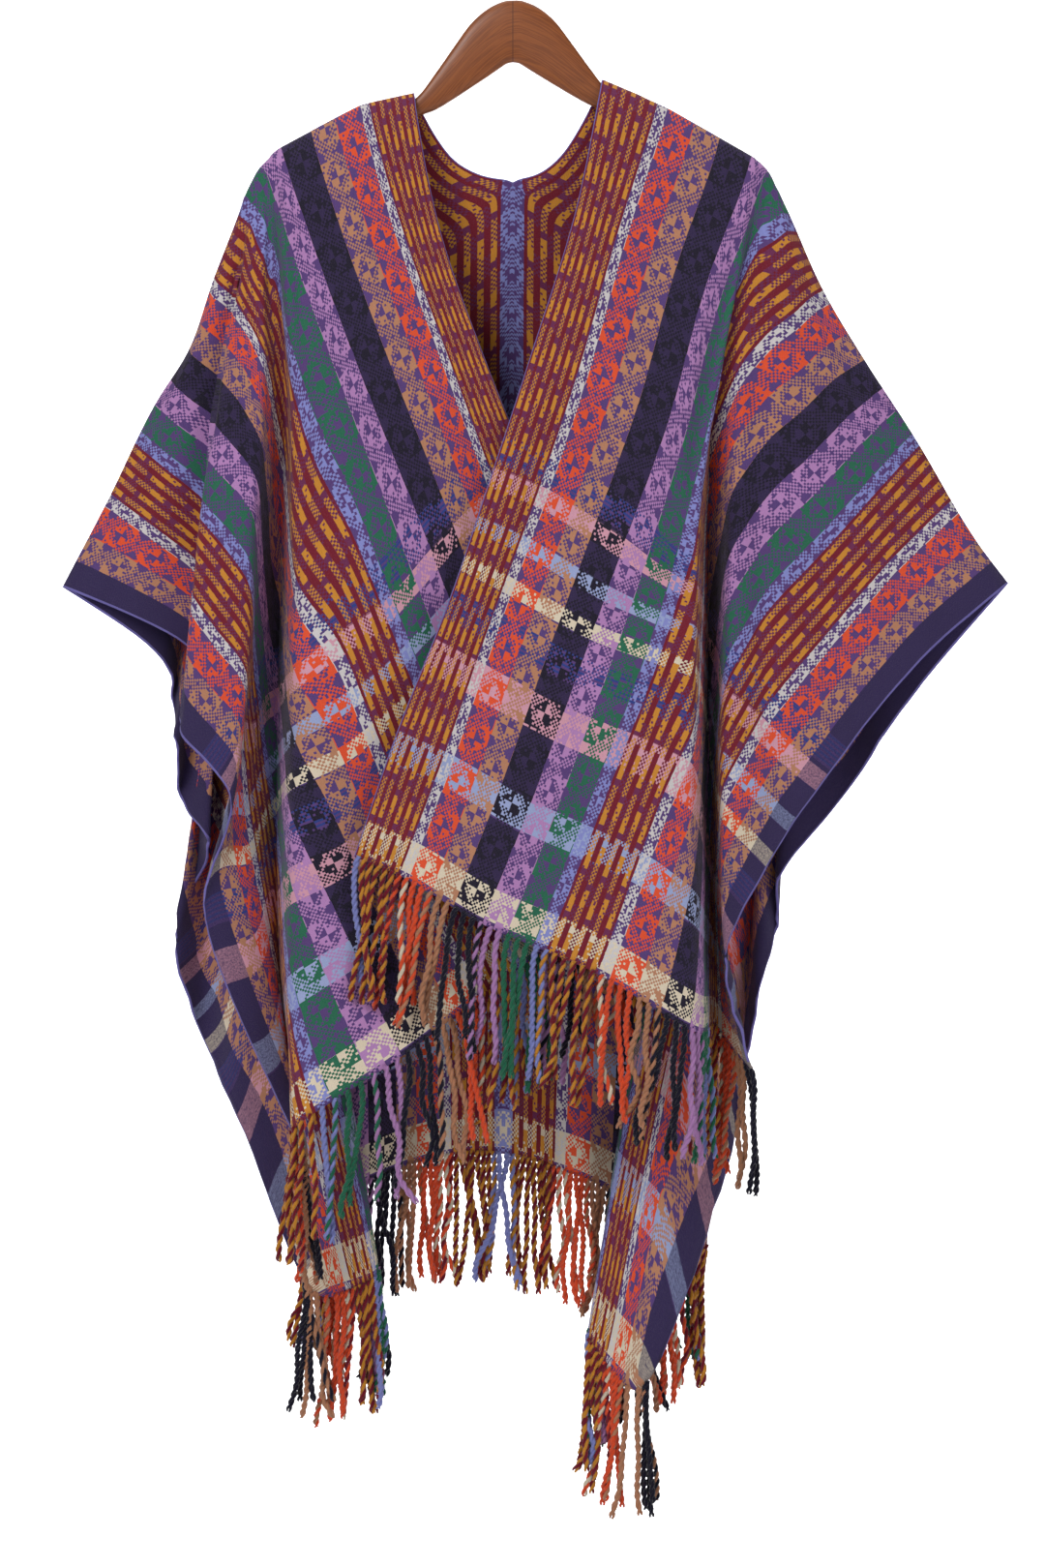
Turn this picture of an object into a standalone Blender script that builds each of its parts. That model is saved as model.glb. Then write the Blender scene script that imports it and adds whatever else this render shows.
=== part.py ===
"""Open-front fringed poncho (ruana) hung on a wooden hanger. Metres, +Z up, +X to the viewer's right, the front faces -Y.

The origin is inside the top of the hanger's hook, where the rail carries it. The cloth is one loom width, slit from the front hem
up to the nape; here it is three walls, the back and two fronts, which meet along the top fold with a fine gap.

Every table below is laid out on a measuring grid of UNIT: u runs to the right and v runs down from the top of the hanger's wood,
both as seen from straight in front at VIEW_FAR. out is how far a point stands towards the viewer, in millimetres. across is the
distance over the cloth from the slit to the outer selvedge and along is the distance from the top fold, towards the front hem
(positive) or the back hem (negative), in millimetres of flat cloth.
"""

import math
from collections import namedtuple

import bmesh
import bpy
import numpy as np

for old in list(bpy.data.objects):
    bpy.data.objects.remove(old, do_unlink=True)

# ---------------------------------------------------------------- sizes
UNIT = 0.00085  # one grid step: the hanger is 522 steps wide, and a full-size hanger is 0.444 m
VIEW_FAR = 3.2  # the eye's distance from the hanger's plane
AXIS_U, AXIS_V = 540.0, 810.0  # where the line of sight meets the grid
MID_U = 530.0  # the hanger's middle
WOOD_TOP = -0.058  # height of the wood's top below the rail
CLOTH = 0.0020  # wall of the fulled woollen cloth
GAP = 0.0003  # between pieces
HALF_CLOTH = 606.0  # slit to selvedge, mm
FRONT_DROP = 718.0  # top fold to front hem, mm
BACK_DROP = 935.0  # top fold to back hem, mm
FRINGE = 0.118  # length of the fringe
FRINGE_THICK = 0.0012
ROWS = 18  # steps down each wall
HANGER_THICK = 0.012
WIRE_R = 0.0018
HOOK_R = 0.0205  # centre line of the hook's bend

Row = namedtuple("Row", "u v out across along")


def place(u, v, out):
    """A grid point and its depth as a point in space, allowing for the eye's distance."""
    y = -out / 1000.0
    f = (VIEW_FAR + y) / VIEW_FAR
    x = (AXIS_U - MID_U) * UNIT + (u - AXIS_U) * UNIT * f
    z = WOOD_TOP - AXIS_V * UNIT + (AXIS_V - v) * UNIT * f
    return np.array((x, y, z))


# ---------------------------------------------------------------- the folds, one short table each
# The wearer's left front, which lies on top. The first three lines run over the hanger's arm; the rest leave its end.
LEFT_FRONT = {
    "slit_edge": [
        Row(622, 83, 0, 0, 0),
        Row(621, 88, 8, 0, 5),
        Row(619, 99, 14, 0, 14),
        Row(594, 221, 34, 0, 120),
        Row(552, 356, 50, 0, 240),
        Row(507, 493, 62, 0, 363),
        Row(463, 623, 68, 0, 479),
        Row(410, 757, 70, 0, 600),
        Row(366, 885, 70, 0, 718),
    ],
    "white_line": [
        Row(690, 113, 0, 77, 0),
        Row(688, 118, 8, 77, 5),
        Row(685, 129, 14, 77, 14),
        Row(645, 248, 33, 77, 120),
        Row(608, 381, 47, 77, 240),
        Row(563, 516, 57, 77, 363),
        Row(513, 650, 62, 77, 479),
        Row(468, 783, 66, 77, 600),
        Row(421, 908, 67, 77, 718),
    ],
    "lilac_line": [
        Row(776, 162, 0, 165, 0),
        Row(774, 168, 8, 165, 6),
        Row(771, 180, 13, 165, 15),
        Row(730, 296, 35, 165, 120),
        Row(693, 431, 52, 165, 240),
        Row(643, 567, 63, 165, 363),
        Row(597, 695, 68, 165, 479),
        Row(548, 830, 70, 165, 600),
        Row(497, 955, 71, 165, 718),
    ],
    "panel_swell": [
        Row(781, 166, 0, 171, 0),
        Row(777, 184, 12, 174, 15),
        Row(745, 340, 37, 209, 112),
        Row(712, 500, 52, 216, 252),
        Row(690, 680, 60, 243, 440),
        Row(660, 850, 60, 276, 577),
        Row(617, 1005, 60, 290, 718),
    ],
    "front_ridge": [
        Row(785, 169, 0, 177, 0),
        Row(781, 190, 11, 184, 14),
        Row(742, 400, 44, 222, 163),
        Row(726, 500, 56, 230, 248),
        Row(719, 700, 68, 270, 448),
        Row(718, 900, 70, 355, 583),
        Row(722, 1070, 66, 400, 718),
    ],
    "deep_fold": [
        Row(788, 172, 0, 182, 0),
        Row(785, 194, 10, 192, 14),
        Row(737, 400, 18, 263, 155),
        Row(731, 520, -6, 312, 240),
        Row(731, 700, -28, 364, 400),
        Row(733, 900, -38, 460, 540),
        Row(738, 1058, -38, 505, 718),
    ],
    "corner_line": [
        Row(791, 175, 0, 187, 0),
        Row(788, 198, 9, 200, 14),
        Row(750, 400, 24, 284, 150),
        Row(741, 700, 4, 410, 375),
        Row(742, 900, 0, 520, 500),
        Row(752, 1010, -4, 570, 610),
        Row(778, 1113, 12, 606, 718),
    ],
    "wing_ridge": [
        Row(794, 179, 0, 192, 0),
        Row(791, 203, 8, 206, 14),
        Row(766, 400, 30, 304, 144),
        Row(754, 560, 40, 385, 250),
        Row(750, 700, 44, 458, 346),
        Row(746, 860, 42, 540, 455),
        Row(745, 990, 34, 606, 545),
    ],
    "wing_inner": [
        Row(797, 184, 0, 198, 0),
        Row(796, 205, 7, 208, 14),
        Row(799, 420, 24, 340, 150),
        Row(799, 640, 34, 470, 285),
        Row(800, 880, 26, 606, 432),
    ],
    "wing_middle": [
        Row(800, 191, 0, 202, 0),
        Row(801, 209, 6, 212, 12),
        Row(826, 400, 18, 340, 118),
        Row(850, 600, 23, 478, 226),
        Row(870, 780, 16, 606, 335),
    ],
    "wing_outer": [
        Row(803, 197, 0, 207, 0),
        Row(806, 212, 5, 216, 10),
        Row(855, 370, 12, 340, 84),
        Row(910, 550, 15, 490, 160),
        Row(950, 680, 10, 606, 215),
    ],
    "top_fold": [
        Row(806, 203, 0, 212, 0),
        Row(815, 222, 0, 221, 3),
        Row(850, 300, 0, 290, 20),
        Row(893, 372, 0, 357, 37),
        Row(950, 460, 0, 460, 60),
        Row(1008, 558, 0, 555, 80),
        Row(1042, 603, 0, 606, 90),
    ],
}
# The wearer's right front, which passes behind the other below the breast.
RIGHT_FRONT = {
    "slit_edge": [
        Row(428, 97, 0, 0, 0),
        Row(429, 102, 8, 0, 5),
        Row(430, 112, 14, 0, 14),
        Row(455, 238, 30, 0, 120),
        Row(500, 368, 40, 0, 240),
        Row(555, 506, 42, 0, 363),
        Row(603, 634, 42, 0, 479),
        Row(650, 768, 42, 0, 600),
        Row(690, 897, 42, 0, 718),
    ],
    "white_line": [
        Row(372, 110, 0, 77, 0),
        Row(374, 115, 8, 77, 5),
        Row(376, 126, 14, 77, 14),
        Row(412, 246, 31, 77, 120),
        Row(460, 378, 40, 77, 240),
        Row(510, 515, 41, 77, 363),
        Row(555, 644, 42, 77, 479),
        Row(600, 780, 43, 77, 600),
        Row(640, 925, 43, 77, 718),
    ],
    "lilac_line": [
        Row(291, 153, 0, 165, 0),
        Row(293, 159, 8, 165, 6),
        Row(296, 170, 13, 165, 15),
        Row(338, 294, 36, 165, 120),
        Row(388, 425, 48, 165, 240),
        Row(450, 578, 46, 165, 363),
        Row(495, 705, 45, 165, 479),
        Row(536, 848, 45, 165, 600),
        Row(572, 976, 45, 165, 718),
    ],
    "panel_swell": [
        Row(284, 158, 0, 172, 0),
        Row(289, 176, 12, 176, 15),
        Row(322, 320, 38, 195, 125),
        Row(362, 470, 52, 211, 243),
        Row(398, 625, 54, 231, 355),
        Row(396, 790, 46, 296, 474),
        Row(440, 905, 44, 288, 600),
        Row(500, 1026, 44, 290, 718),
    ],
    "plaid_swell": [
        Row(281, 161, 0, 176, 0),
        Row(286, 181, 11, 182, 15),
        Row(314, 345, 38, 206, 140),
        Row(338, 500, 52, 234, 258),
        Row(352, 680, 58, 298, 372),
        Row(356, 850, 56, 352, 492),
        Row(390, 980, 54, 375, 622),
        Row(420, 1090, 54, 392, 718),
    ],
    "front_ridge": [
        Row(278, 165, 0, 180, 0),
        Row(283, 187, 10, 187, 14),
        Row(305, 380, 42, 226, 150),
        Row(306, 560, 56, 275, 258),
        Row(303, 760, 64, 353, 406),
        Row(300, 960, 66, 430, 563),
        Row(300, 1165, 62, 478, 718),
    ],
    "deep_fold": [
        Row(275, 168, 0, 184, 0),
        Row(280, 190, 9, 192, 14),
        Row(296, 380, 14, 252, 153),
        Row(292, 600, -18, 342, 280),
        Row(288, 800, -30, 430, 420),
        Row(290, 1000, -34, 500, 572),
        Row(312, 1186, -32, 548, 718),
    ],
    "corner_line": [
        Row(272, 171, 0, 188, 0),
        Row(277, 193, 8, 198, 14),
        Row(286, 380, 18, 270, 156),
        Row(278, 600, 0, 366, 284),
        Row(277, 800, -12, 452, 410),
        Row(283, 1000, -14, 525, 580),
        Row(322, 1212, -8, 606, 718),
    ],
    "low_selvedge": [
        Row(269, 174, 0, 192, 0),
        Row(275, 197, 8, 203, 14),
        Row(279, 300, 16, 240, 84),
        Row(281, 400, 24, 291, 158),
        Row(270, 640, 10, 415, 300),
        Row(258, 860, 2, 520, 420),
        Row(246, 1050, 4, 606, 572),
    ],
    "turn_selvedge": [
        Row(267, 177, 0, 196, 0),
        Row(273, 200, 7, 208, 14),
        Row(275, 300, 19, 245, 82),
        Row(276, 400, 30, 303, 152),
        Row(264, 620, 22, 430, 280),
        Row(238, 820, 14, 545, 400),
        Row(202, 935, 12, 606, 468),
    ],
    "inner_ridge": [
        Row(265, 180, 0, 199, 0),
        Row(271, 203, 7, 212, 14),
        Row(272, 300, 25, 250, 80),
        Row(272, 400, 40, 316, 150),
        Row(265, 520, 48, 410, 220),
        Row(260, 640, 50, 480, 290),
        Row(256, 740, 46, 548, 345),
        Row(248, 834, 38, 606, 388),
    ],
    "side_front": [
        Row(263, 184, 0, 203, 0),
        Row(267, 206, 6, 216, 14),
        Row(262, 290, 22, 254, 74),
        Row(254, 370, 36, 322, 125),
        Row(240, 500, 46, 416, 190),
        Row(229, 640, 50, 505, 262),
        Row(216, 790, 42, 606, 338),
    ],
    "side_ridge": [
        Row(261, 189, 0, 207, 0),
        Row(262, 209, 6, 220, 12),
        Row(247, 285, 18, 272, 56),
        Row(232, 360, 28, 334, 95),
        Row(212, 490, 38, 428, 160),
        Row(197, 620, 42, 520, 225),
        Row(184, 755, 36, 606, 292),
    ],
    "side_fold": [
        Row(258, 195, 0, 212, 0),
        Row(257, 212, 5, 224, 10),
        Row(249, 280, 7, 268, 44),
        Row(237, 340, 9, 316, 72),
        Row(226, 460, 3, 410, 122),
        Row(216, 570, 1, 500, 180),
        Row(207, 672, 2, 606, 246),
    ],
    "wing_middle": [
        Row(255, 201, 0, 217, 0),
        Row(252, 215, 4, 228, 8),
        Row(236, 270, 7, 268, 28),
        Row(214, 330, 12, 322, 50),
        Row(180, 440, 13, 420, 98),
        Row(148, 560, 10, 535, 140),
        Row(128, 632, 8, 606, 160),
    ],
    "top_fold": [
        Row(252, 208, 0, 221, 0),
        Row(248, 220, 0, 232, 4),
        Row(222, 287, 0, 290, 22),
        Row(197, 360, 0, 357, 38),
        Row(161, 418, 0, 417, 52),
        Row(115, 510, 0, 515, 74),
        Row(65, 607, 0, 606, 90),
    ],
}
# The back, in two halves that share the middle line below the nape. Its folds over the arm run nearly straight down, so a row
# gives each one's place on the arm, halfway down and at the hem.
BackFold = namedtuple("BackFold", "name across u_arm v_arm u_mid u_hem v_hem out_mid out_hem")
MID_V = 650.0
LEFT_BACK_FOLDS = [
    BackFold("nape_crest", 43, 660, 99, 572, 556, 1200, -80, -104),
    BackFold("nape_hollow", 86, 698, 118, 614, 591, 1212, -64, -82),
    BackFold("blade_crest", 128, 739, 141, 655, 627, 1228, -82, -106),
    BackFold("blade_hollow", 168, 778, 164, 694, 662, 1246, -70, -97),
    BackFold("side_crest", 204, 783, 168, 730, 698, 1266, -92, -116),
    BackFold("back_ridge", 250, 786, 171, 760, 735, 1290, -84, -98),
]
RIGHT_BACK_FOLDS = [
    BackFold("nape_crest", 43, 398, 104, 486, 484, 1190, -78, -102),
    BackFold("nape_hollow", 86, 364, 114, 446, 449, 1196, -62, -76),
    BackFold("blade_crest", 128, 324, 135, 408, 414, 1206, -80, -108),
    BackFold("blade_hollow", 168, 287, 157, 370, 380, 1220, -68, -88),
    BackFold("side_crest", 204, 283, 161, 334, 346, 1240, -88, -110),
    BackFold("back_ridge", 250, 280, 165, 296, 314, 1262, -84, -98),
]


def back_fold_lines(folds):
    """Each fold's line from the arm to the hem; the cloth leaves the arm flat and the folds deepen as it falls."""
    lines = {}
    for f in folds:
        drop = f.v_hem - f.v_arm
        lean = (f.u_mid - f.u_arm) / (MID_V - f.v_arm)
        early = (300 - f.v_arm) / drop
        half = (MID_V - f.v_arm) / drop
        across_top = min(f.across, 165 + (f.across - 165) * 0.2) if f.across > 165 else f.across
        across_half = across_top + (f.across - across_top) * 0.6
        lines[f.name] = [
            Row(f.u_arm, f.v_arm, 0, across_top, 0),
            Row(f.u_arm + lean * 7, f.v_arm + 7, -10, across_top, -7),
            Row(f.u_arm + lean * 20, f.v_arm + 20, -13.5, across_top, -18),
            Row(f.u_arm + lean * (300 - f.v_arm), 300, -34, across_top, -early * BACK_DROP),
            Row(f.u_mid, MID_V, f.out_mid, across_half, -half * BACK_DROP),
            Row((f.u_mid + f.u_hem) / 2, (MID_V + f.v_hem) / 2, (f.out_mid + f.out_hem) / 2,
                (across_half + f.across) / 2, -(half + 1) / 2 * BACK_DROP),
            Row(f.u_hem, f.v_hem, f.out_hem, f.across, -BACK_DROP),
        ]
    return lines


LEFT_BACK = {
    "middle": [
        Row(622, 83, 0, 0, 0),
        Row(621, 88, -9, 0, -5),
        Row(612, 107, -14, 0, -21),
        Row(596, 137, -17, 0, -50),
        Row(578, 163, -20, 0, -78),
        Row(556, 180, -22, 0, -100),
        Row(530, 186, -24, 0, -118),
        Row(529, 300, -38, 0, -214),
        Row(528, 650, -64, 0, -510),
        Row(524, 930, -72, 0, -745),
        Row(520, 1192, -74, 0, -935),
    ],
    **back_fold_lines(LEFT_BACK_FOLDS),
    "inner_fold": [
        Row(789, 173, 0, 184, 0),
        Row(788, 184, -8, 190, -7),
        Row(785, 200, -11, 200, -18),
        Row(756, 420, -40, 262, -200),
        Row(716, 700, -58, 335, -430),
        Row(654, 1040, -68, 402, -720),
        Row(600, 1372, -66, 440, -935),
    ],
    "corner_line": [
        Row(792, 177, 0, 190, 0),
        Row(791, 187, -8, 197, -7),
        Row(789, 204, -10, 208, -16),
        Row(772, 420, -38, 312, -190),
        Row(748, 720, -56, 436, -420),
        Row(712, 1060, -60, 545, -700),
        Row(665, 1450, -52, 606, -935),
    ],
    "low_selvedge": [
        Row(795, 181, 0, 195, 0),
        Row(794, 191, -8, 202, -7),
        Row(793, 208, -9, 213, -15),
        Row(780, 430, -40, 325, -175),
        Row(766, 720, -60, 455, -390),
        Row(748, 1030, -64, 560, -625),
        Row(727, 1290, -60, 606, -770),
    ],
    "rear_pleat": [
        Row(797, 185, 0, 199, 0),
        Row(797, 195, -8, 206, -6),
        Row(796, 211, -9, 216, -14),
        Row(786, 430, -64, 335, -160),
        Row(792, 720, -100, 475, -355),
        Row(766, 1150, -104, 606, -640),
    ],
    "side_selvedge": [
        Row(799, 189, 0, 202, 0),
        Row(799, 199, -7, 209, -6),
        Row(799, 214, -8, 219, -12),
        Row(790, 430, -34, 345, -130),
        Row(788, 720, -52, 500, -300),
        Row(780, 1030, -56, 606, -490),
    ],
    "turn_rear": [
        Row(801, 193, 0, 206, 0),
        Row(802, 203, -7, 212, -5),
        Row(803, 217, -8, 221, -10),
        Row(812, 430, -56, 350, -110),
        Row(822, 690, -86, 495, -245),
        Row(806, 955, -82, 606, -410),
    ],
    "turn_selvedge": [
        Row(803, 197, 0, 209, 0),
        Row(804, 207, -6, 215, -4),
        Row(807, 220, -7, 224, -8),
        Row(812, 430, -26, 355, -95),
        Row(808, 680, -42, 500, -215),
        Row(800, 905, -42, 606, -345),
    ],
    "wing_rear": [
        Row(804, 200, 0, 211, 0),
        Row(807, 211, -6, 218, -3),
        Row(811, 224, -7, 227, -6),
        Row(850, 430, -44, 355, -60),
        Row(886, 650, -64, 500, -145),
        Row(872, 826, -60, 606, -235),
    ],
    "wing_outer": [
        Row(805, 202, 0, 212, 0),
        Row(809, 213, -5, 219, -2),
        Row(815, 227, -6, 228, -4),
        Row(860, 400, -16, 350, -35),
        Row(902, 580, -20, 490, -75),
        Row(938, 722, -17, 606, -105),
    ],
    "top_fold": LEFT_FRONT["top_fold"],
}
RIGHT_BACK = {
    "middle": [
        Row(428, 97, 0, 0, 0),
        Row(429, 102, -9, 0, -5),
        Row(438, 119, -14, 0, -21),
        Row(453, 145, -17, 0, -50),
        Row(471, 167, -20, 0, -78),
        Row(500, 182, -22, 0, -100),
        *LEFT_BACK["middle"][6:],
    ],
    **back_fold_lines(RIGHT_BACK_FOLDS),
    "inner_fold": [
        Row(276, 168, 0, 186, 0),
        Row(277, 179, -8, 192, -7),
        Row(279, 194, -11, 202, -18),
        Row(294, 420, -40, 262, -200),
        Row(318, 700, -56, 332, -430),
        Row(352, 1020, -70, 396, -720),
        Row(400, 1316, -68, 430, -935),
    ],
    "corner_line": [
        Row(272, 172, 0, 192, 0),
        Row(273, 183, -8, 199, -7),
        Row(274, 199, -10, 210, -16),
        Row(270, 420, -38, 312, -190),
        Row(262, 720, -56, 436, -420),
        Row(278, 1040, -62, 545, -700),
        Row(318, 1345, -56, 606, -935),
    ],
    "low_selvedge": [
        Row(268, 176, 0, 197, 0),
        Row(269, 187, -8, 204, -7),
        Row(270, 203, -9, 215, -15),
        Row(260, 420, -36, 325, -175),
        Row(240, 700, -52, 455, -390),
        Row(236, 960, -54, 560, -610),
        Row(250, 1160, -54, 606, -735),
    ],
    "rear_pleat": [
        Row(265, 181, 0, 201, 0),
        Row(266, 191, -8, 208, -6),
        Row(266, 207, -9, 219, -14),
        Row(252, 430, -62, 338, -160),
        Row(226, 710, -96, 475, -365),
        Row(208, 1072, -92, 606, -650),
    ],
    "knee_selvedge": [
        Row(262, 186, 0, 206, 0),
        Row(263, 196, -7, 212, -6),
        Row(262, 211, -8, 223, -12),
        Row(246, 430, -34, 348, -145),
        Row(218, 700, -46, 490, -325),
        Row(176, 980, -44, 606, -545),
    ],
    "knee_rear": [
        Row(260, 190, 0, 209, 0),
        Row(260, 200, -7, 216, -5),
        Row(259, 215, -8, 227, -11),
        Row(240, 430, -54, 352, -130),
        Row(220, 690, -84, 492, -295),
        Row(196, 925, -78, 606, -480),
    ],
    "turn_selvedge": [
        Row(258, 194, 0, 212, 0),
        Row(258, 204, -6, 219, -4),
        Row(256, 218, -7, 229, -9),
        Row(240, 420, -28, 352, -118),
        Row(230, 650, -40, 492, -262),
        Row(222, 868, -36, 606, -415),
    ],
    "turn_rear": [
        Row(256, 198, 0, 215, 0),
        Row(255, 208, -6, 222, -4),
        Row(253, 222, -7, 231, -8),
        Row(228, 410, -48, 350, -100),
        Row(204, 620, -76, 490, -225),
        Row(186, 832, -70, 606, -360),
    ],
    "side_selvedge": [
        Row(255, 201, 0, 217, 0),
        Row(254, 211, -5, 224, -3),
        Row(251, 225, -6, 233, -6),
        Row(226, 400, -22, 348, -80),
        Row(202, 600, -34, 490, -195),
        Row(183, 775, -34, 606, -300),
    ],
    "side_rear": [
        Row(254, 203, 0, 218, 0),
        Row(252, 214, -5, 225, -2),
        Row(249, 227, -6, 234, -5),
        Row(220, 390, -40, 350, -60),
        Row(196, 560, -54, 480, -140),
        Row(180, 728, -52, 606, -225),
    ],
    "wing_middle": [
        Row(253, 205, 0, 219, 0),
        Row(251, 216, -4, 226, -2),
        Row(247, 229, -5, 235, -4),
        Row(214, 370, -14, 345, -35),
        Row(190, 500, -20, 450, -75),
        Row(172, 676, -18, 606, -150),
    ],
    "top_fold": RIGHT_FRONT["top_fold"],
}

# How many wall steps lie between one fold line and the next.
STEPS = {
    "LEFT_FRONT": (2, 2, 2, 2, 2, 2, 2, 2, 1, 1, 1),
    "RIGHT_FRONT": (2, 2, 2, 1, 1, 2, 2, 1, 1, 1, 1, 2, 2, 1, 1),
    "LEFT_BACK": (1, 1, 1, 1, 1, 2, 2, 2, 1, 1, 1, 1, 1, 1, 1, 1),
    "RIGHT_BACK": (1, 1, 1, 1, 1, 2, 2, 2, 1, 1, 1, 1, 1, 1, 1, 1, 1, 1),
}


# ---------------------------------------------------------------- curves and walls
def hermite(points, knots, t, slack):
    """A smooth curve through the points; slack 0 is straight runs and 1 is fully rounded."""
    i = int(np.clip(np.searchsorted(knots, t, "right") - 1, 0, len(points) - 2))
    h = knots[i + 1] - knots[i]
    w = (t - knots[i]) / h
    run = (points[i + 1] - points[i]) / h

    def slope(k):
        if k in (0, len(points) - 1):
            return run
        a = (points[k] - points[k - 1]) / (knots[k] - knots[k - 1])
        b = (points[k + 1] - points[k]) / (knots[k + 1] - knots[k])
        return slack * 0.5 * (a + b) + (1 - slack) * run

    m0, m1 = slope(i) * h, slope(i + 1) * h
    return (
        (2 * w**3 - 3 * w**2 + 1) * points[i]
        + (w**3 - 2 * w**2 + w) * m0
        + (3 * w**2 - 2 * w**3) * points[i + 1]
        + (w**3 - w**2) * m1
    )


def fold_line(rows, share):
    """The point at a share of the fold line's length."""
    p = np.array(rows, float)
    steps = np.hypot(np.hypot(np.diff(p[:, 0]), np.diff(p[:, 1])), np.diff(p[:, 2]) * 0.6)
    knots = np.concatenate(([0.0], np.cumsum(steps)))
    return hermite(p, knots, share * knots[-1], 1.0)


def share_of(step, rows):
    """Steps are close together at the top fold, where the cloth turns over the arm."""
    return (step / rows) ** 1.6


NAPE_ROW = 6  # the nape's row in each back half's middle line
NAPE_STEPS = 6 / 18  # the share of the steps that lie above it


def middle_line(rows, step, count):
    """The back's middle line, with one step exactly at the nape, where the slit ends."""
    above = round(count * NAPE_STEPS)
    if step <= above:
        return fold_line(rows[: NAPE_ROW + 1], (step / above) ** 1.7)
    return fold_line(rows[NAPE_ROW:], ((step - above) / (count - above)) ** 1.3)


def wall_grid(folds, steps, rows):
    """Rows of grid points from the top fold to the hem or selvedge, with the fold lines joined across."""
    names = list(folds)
    grid = []
    for r in range(rows + 1):
        line = np.array(
            [
                middle_line(folds[n], r, rows) if n == "middle" else fold_line(folds[n], share_of(r, rows))
                for n in names
            ]
        )
        knots = np.arange(len(names), dtype=float)
        out = []
        for gap, count in enumerate(steps):
            for k in range(count):
                out.append(hermite(line, knots, gap + k / count, 0.55))
        out.append(line[-1])
        grid.append(out)
    return np.array(grid)


def sheet_faces(rows, cols, offset=0):
    return [
        (
            offset + r * cols + c,
            offset + r * cols + c + 1,
            offset + (r + 1) * cols + c + 1,
            offset + (r + 1) * cols + c,
        )
        for r in range(rows - 1)
        for c in range(cols - 1)
    ]


def sheet_normals(points, faces):
    points = np.array(points, float)
    normals = np.zeros_like(points)
    for f in faces:
        a, b, c, d = (points[i] for i in f)
        n = np.cross(c - a, d - b)
        for i in f:
            normals[i] += n
    return normals / np.maximum(np.linalg.norm(normals, axis=1), 1e-12)[:, None]


def thicken(name, points, faces, thick, material, flat_ids=(), flat_out=0.0, rim_normals=()):
    """A closed wall: the sheet's points moved out and in by half the thickness, and its rim closed."""
    points = np.array(points, float)
    normals = sheet_normals(points, faces)
    for i, n in enumerate(rim_normals):  # the first points face as the wall they are sewn to
        normals[i] = n if np.dot(n, normals[i]) > 0 else -n
    near, far = points + normals * thick / 2, points - normals * thick / 2
    for i in flat_ids:  # the cut ends along the top fold lie in one plane
        near[i] = points[i] + (0, 0, thick / 2)
        far[i] = points[i] - (0, 0, thick / 2)
        near[i][1] = far[i][1] = flat_out
    count = len(points)
    edges = {}
    for f in faces:
        for a, b in zip(f, f[1:] + f[:1]):
            edges[(a, b)] = edges.get((a, b), 0) + 1
    rim = [(a, b) for (a, b) in edges if (b, a) not in edges]
    all_faces = list(faces) + [tuple(i + count for i in reversed(f)) for f in faces]
    all_faces += [(b, a, a + count, b + count) for a, b in rim]
    mesh = bpy.data.meshes.new(name)
    mesh.from_pydata(np.vstack((near, far)).tolist(), [], all_faces)
    return finish(name, mesh, material)


def finish(name, mesh, material):
    """Triangulates, points the faces out and shades the round parts smooth."""
    bm = bmesh.new()
    bm.from_mesh(mesh)
    bmesh.ops.triangulate(bm, faces=bm.faces[:])
    bmesh.ops.recalc_face_normals(bm, faces=bm.faces[:])
    if bm.calc_volume(signed=True) < 0:
        bmesh.ops.reverse_faces(bm, faces=bm.faces[:])
    bm.to_mesh(mesh)
    bm.free()
    mesh.shade_smooth()
    mesh.set_sharp_from_angle(angle=math.radians(50))
    obj = bpy.data.objects.new(name, mesh)
    bpy.context.scene.collection.objects.link(obj)
    mesh.materials.append(material)
    return obj


def material(name, colour, roughness, metallic=0.0):
    m = bpy.data.materials.new(name)
    m.use_nodes = True
    m.diffuse_color = (*colour, 1)
    bsdf = m.node_tree.nodes["Principled BSDF"]
    bsdf.inputs["Base Color"].default_value = (*colour, 1)
    bsdf.inputs["Roughness"].default_value = roughness
    bsdf.inputs["Metallic"].default_value = metallic
    return m


WOOL_TOP = material("wool_front_left", (0.42, 0.16, 0.20), 0.9)
WOOL_UNDER = material("wool_front_right", (0.30, 0.15, 0.28), 0.9)
WOOL_BACK = material("wool_back", (0.20, 0.11, 0.26), 0.9)
YARN = material("fringe_yarn", (0.45, 0.22, 0.12), 0.95)
WOOD = material("hanger_wood", (0.30, 0.12, 0.05), 0.42)
STEEL = material("hook_steel", (0.62, 0.62, 0.64), 0.28, 1.0)


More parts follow.
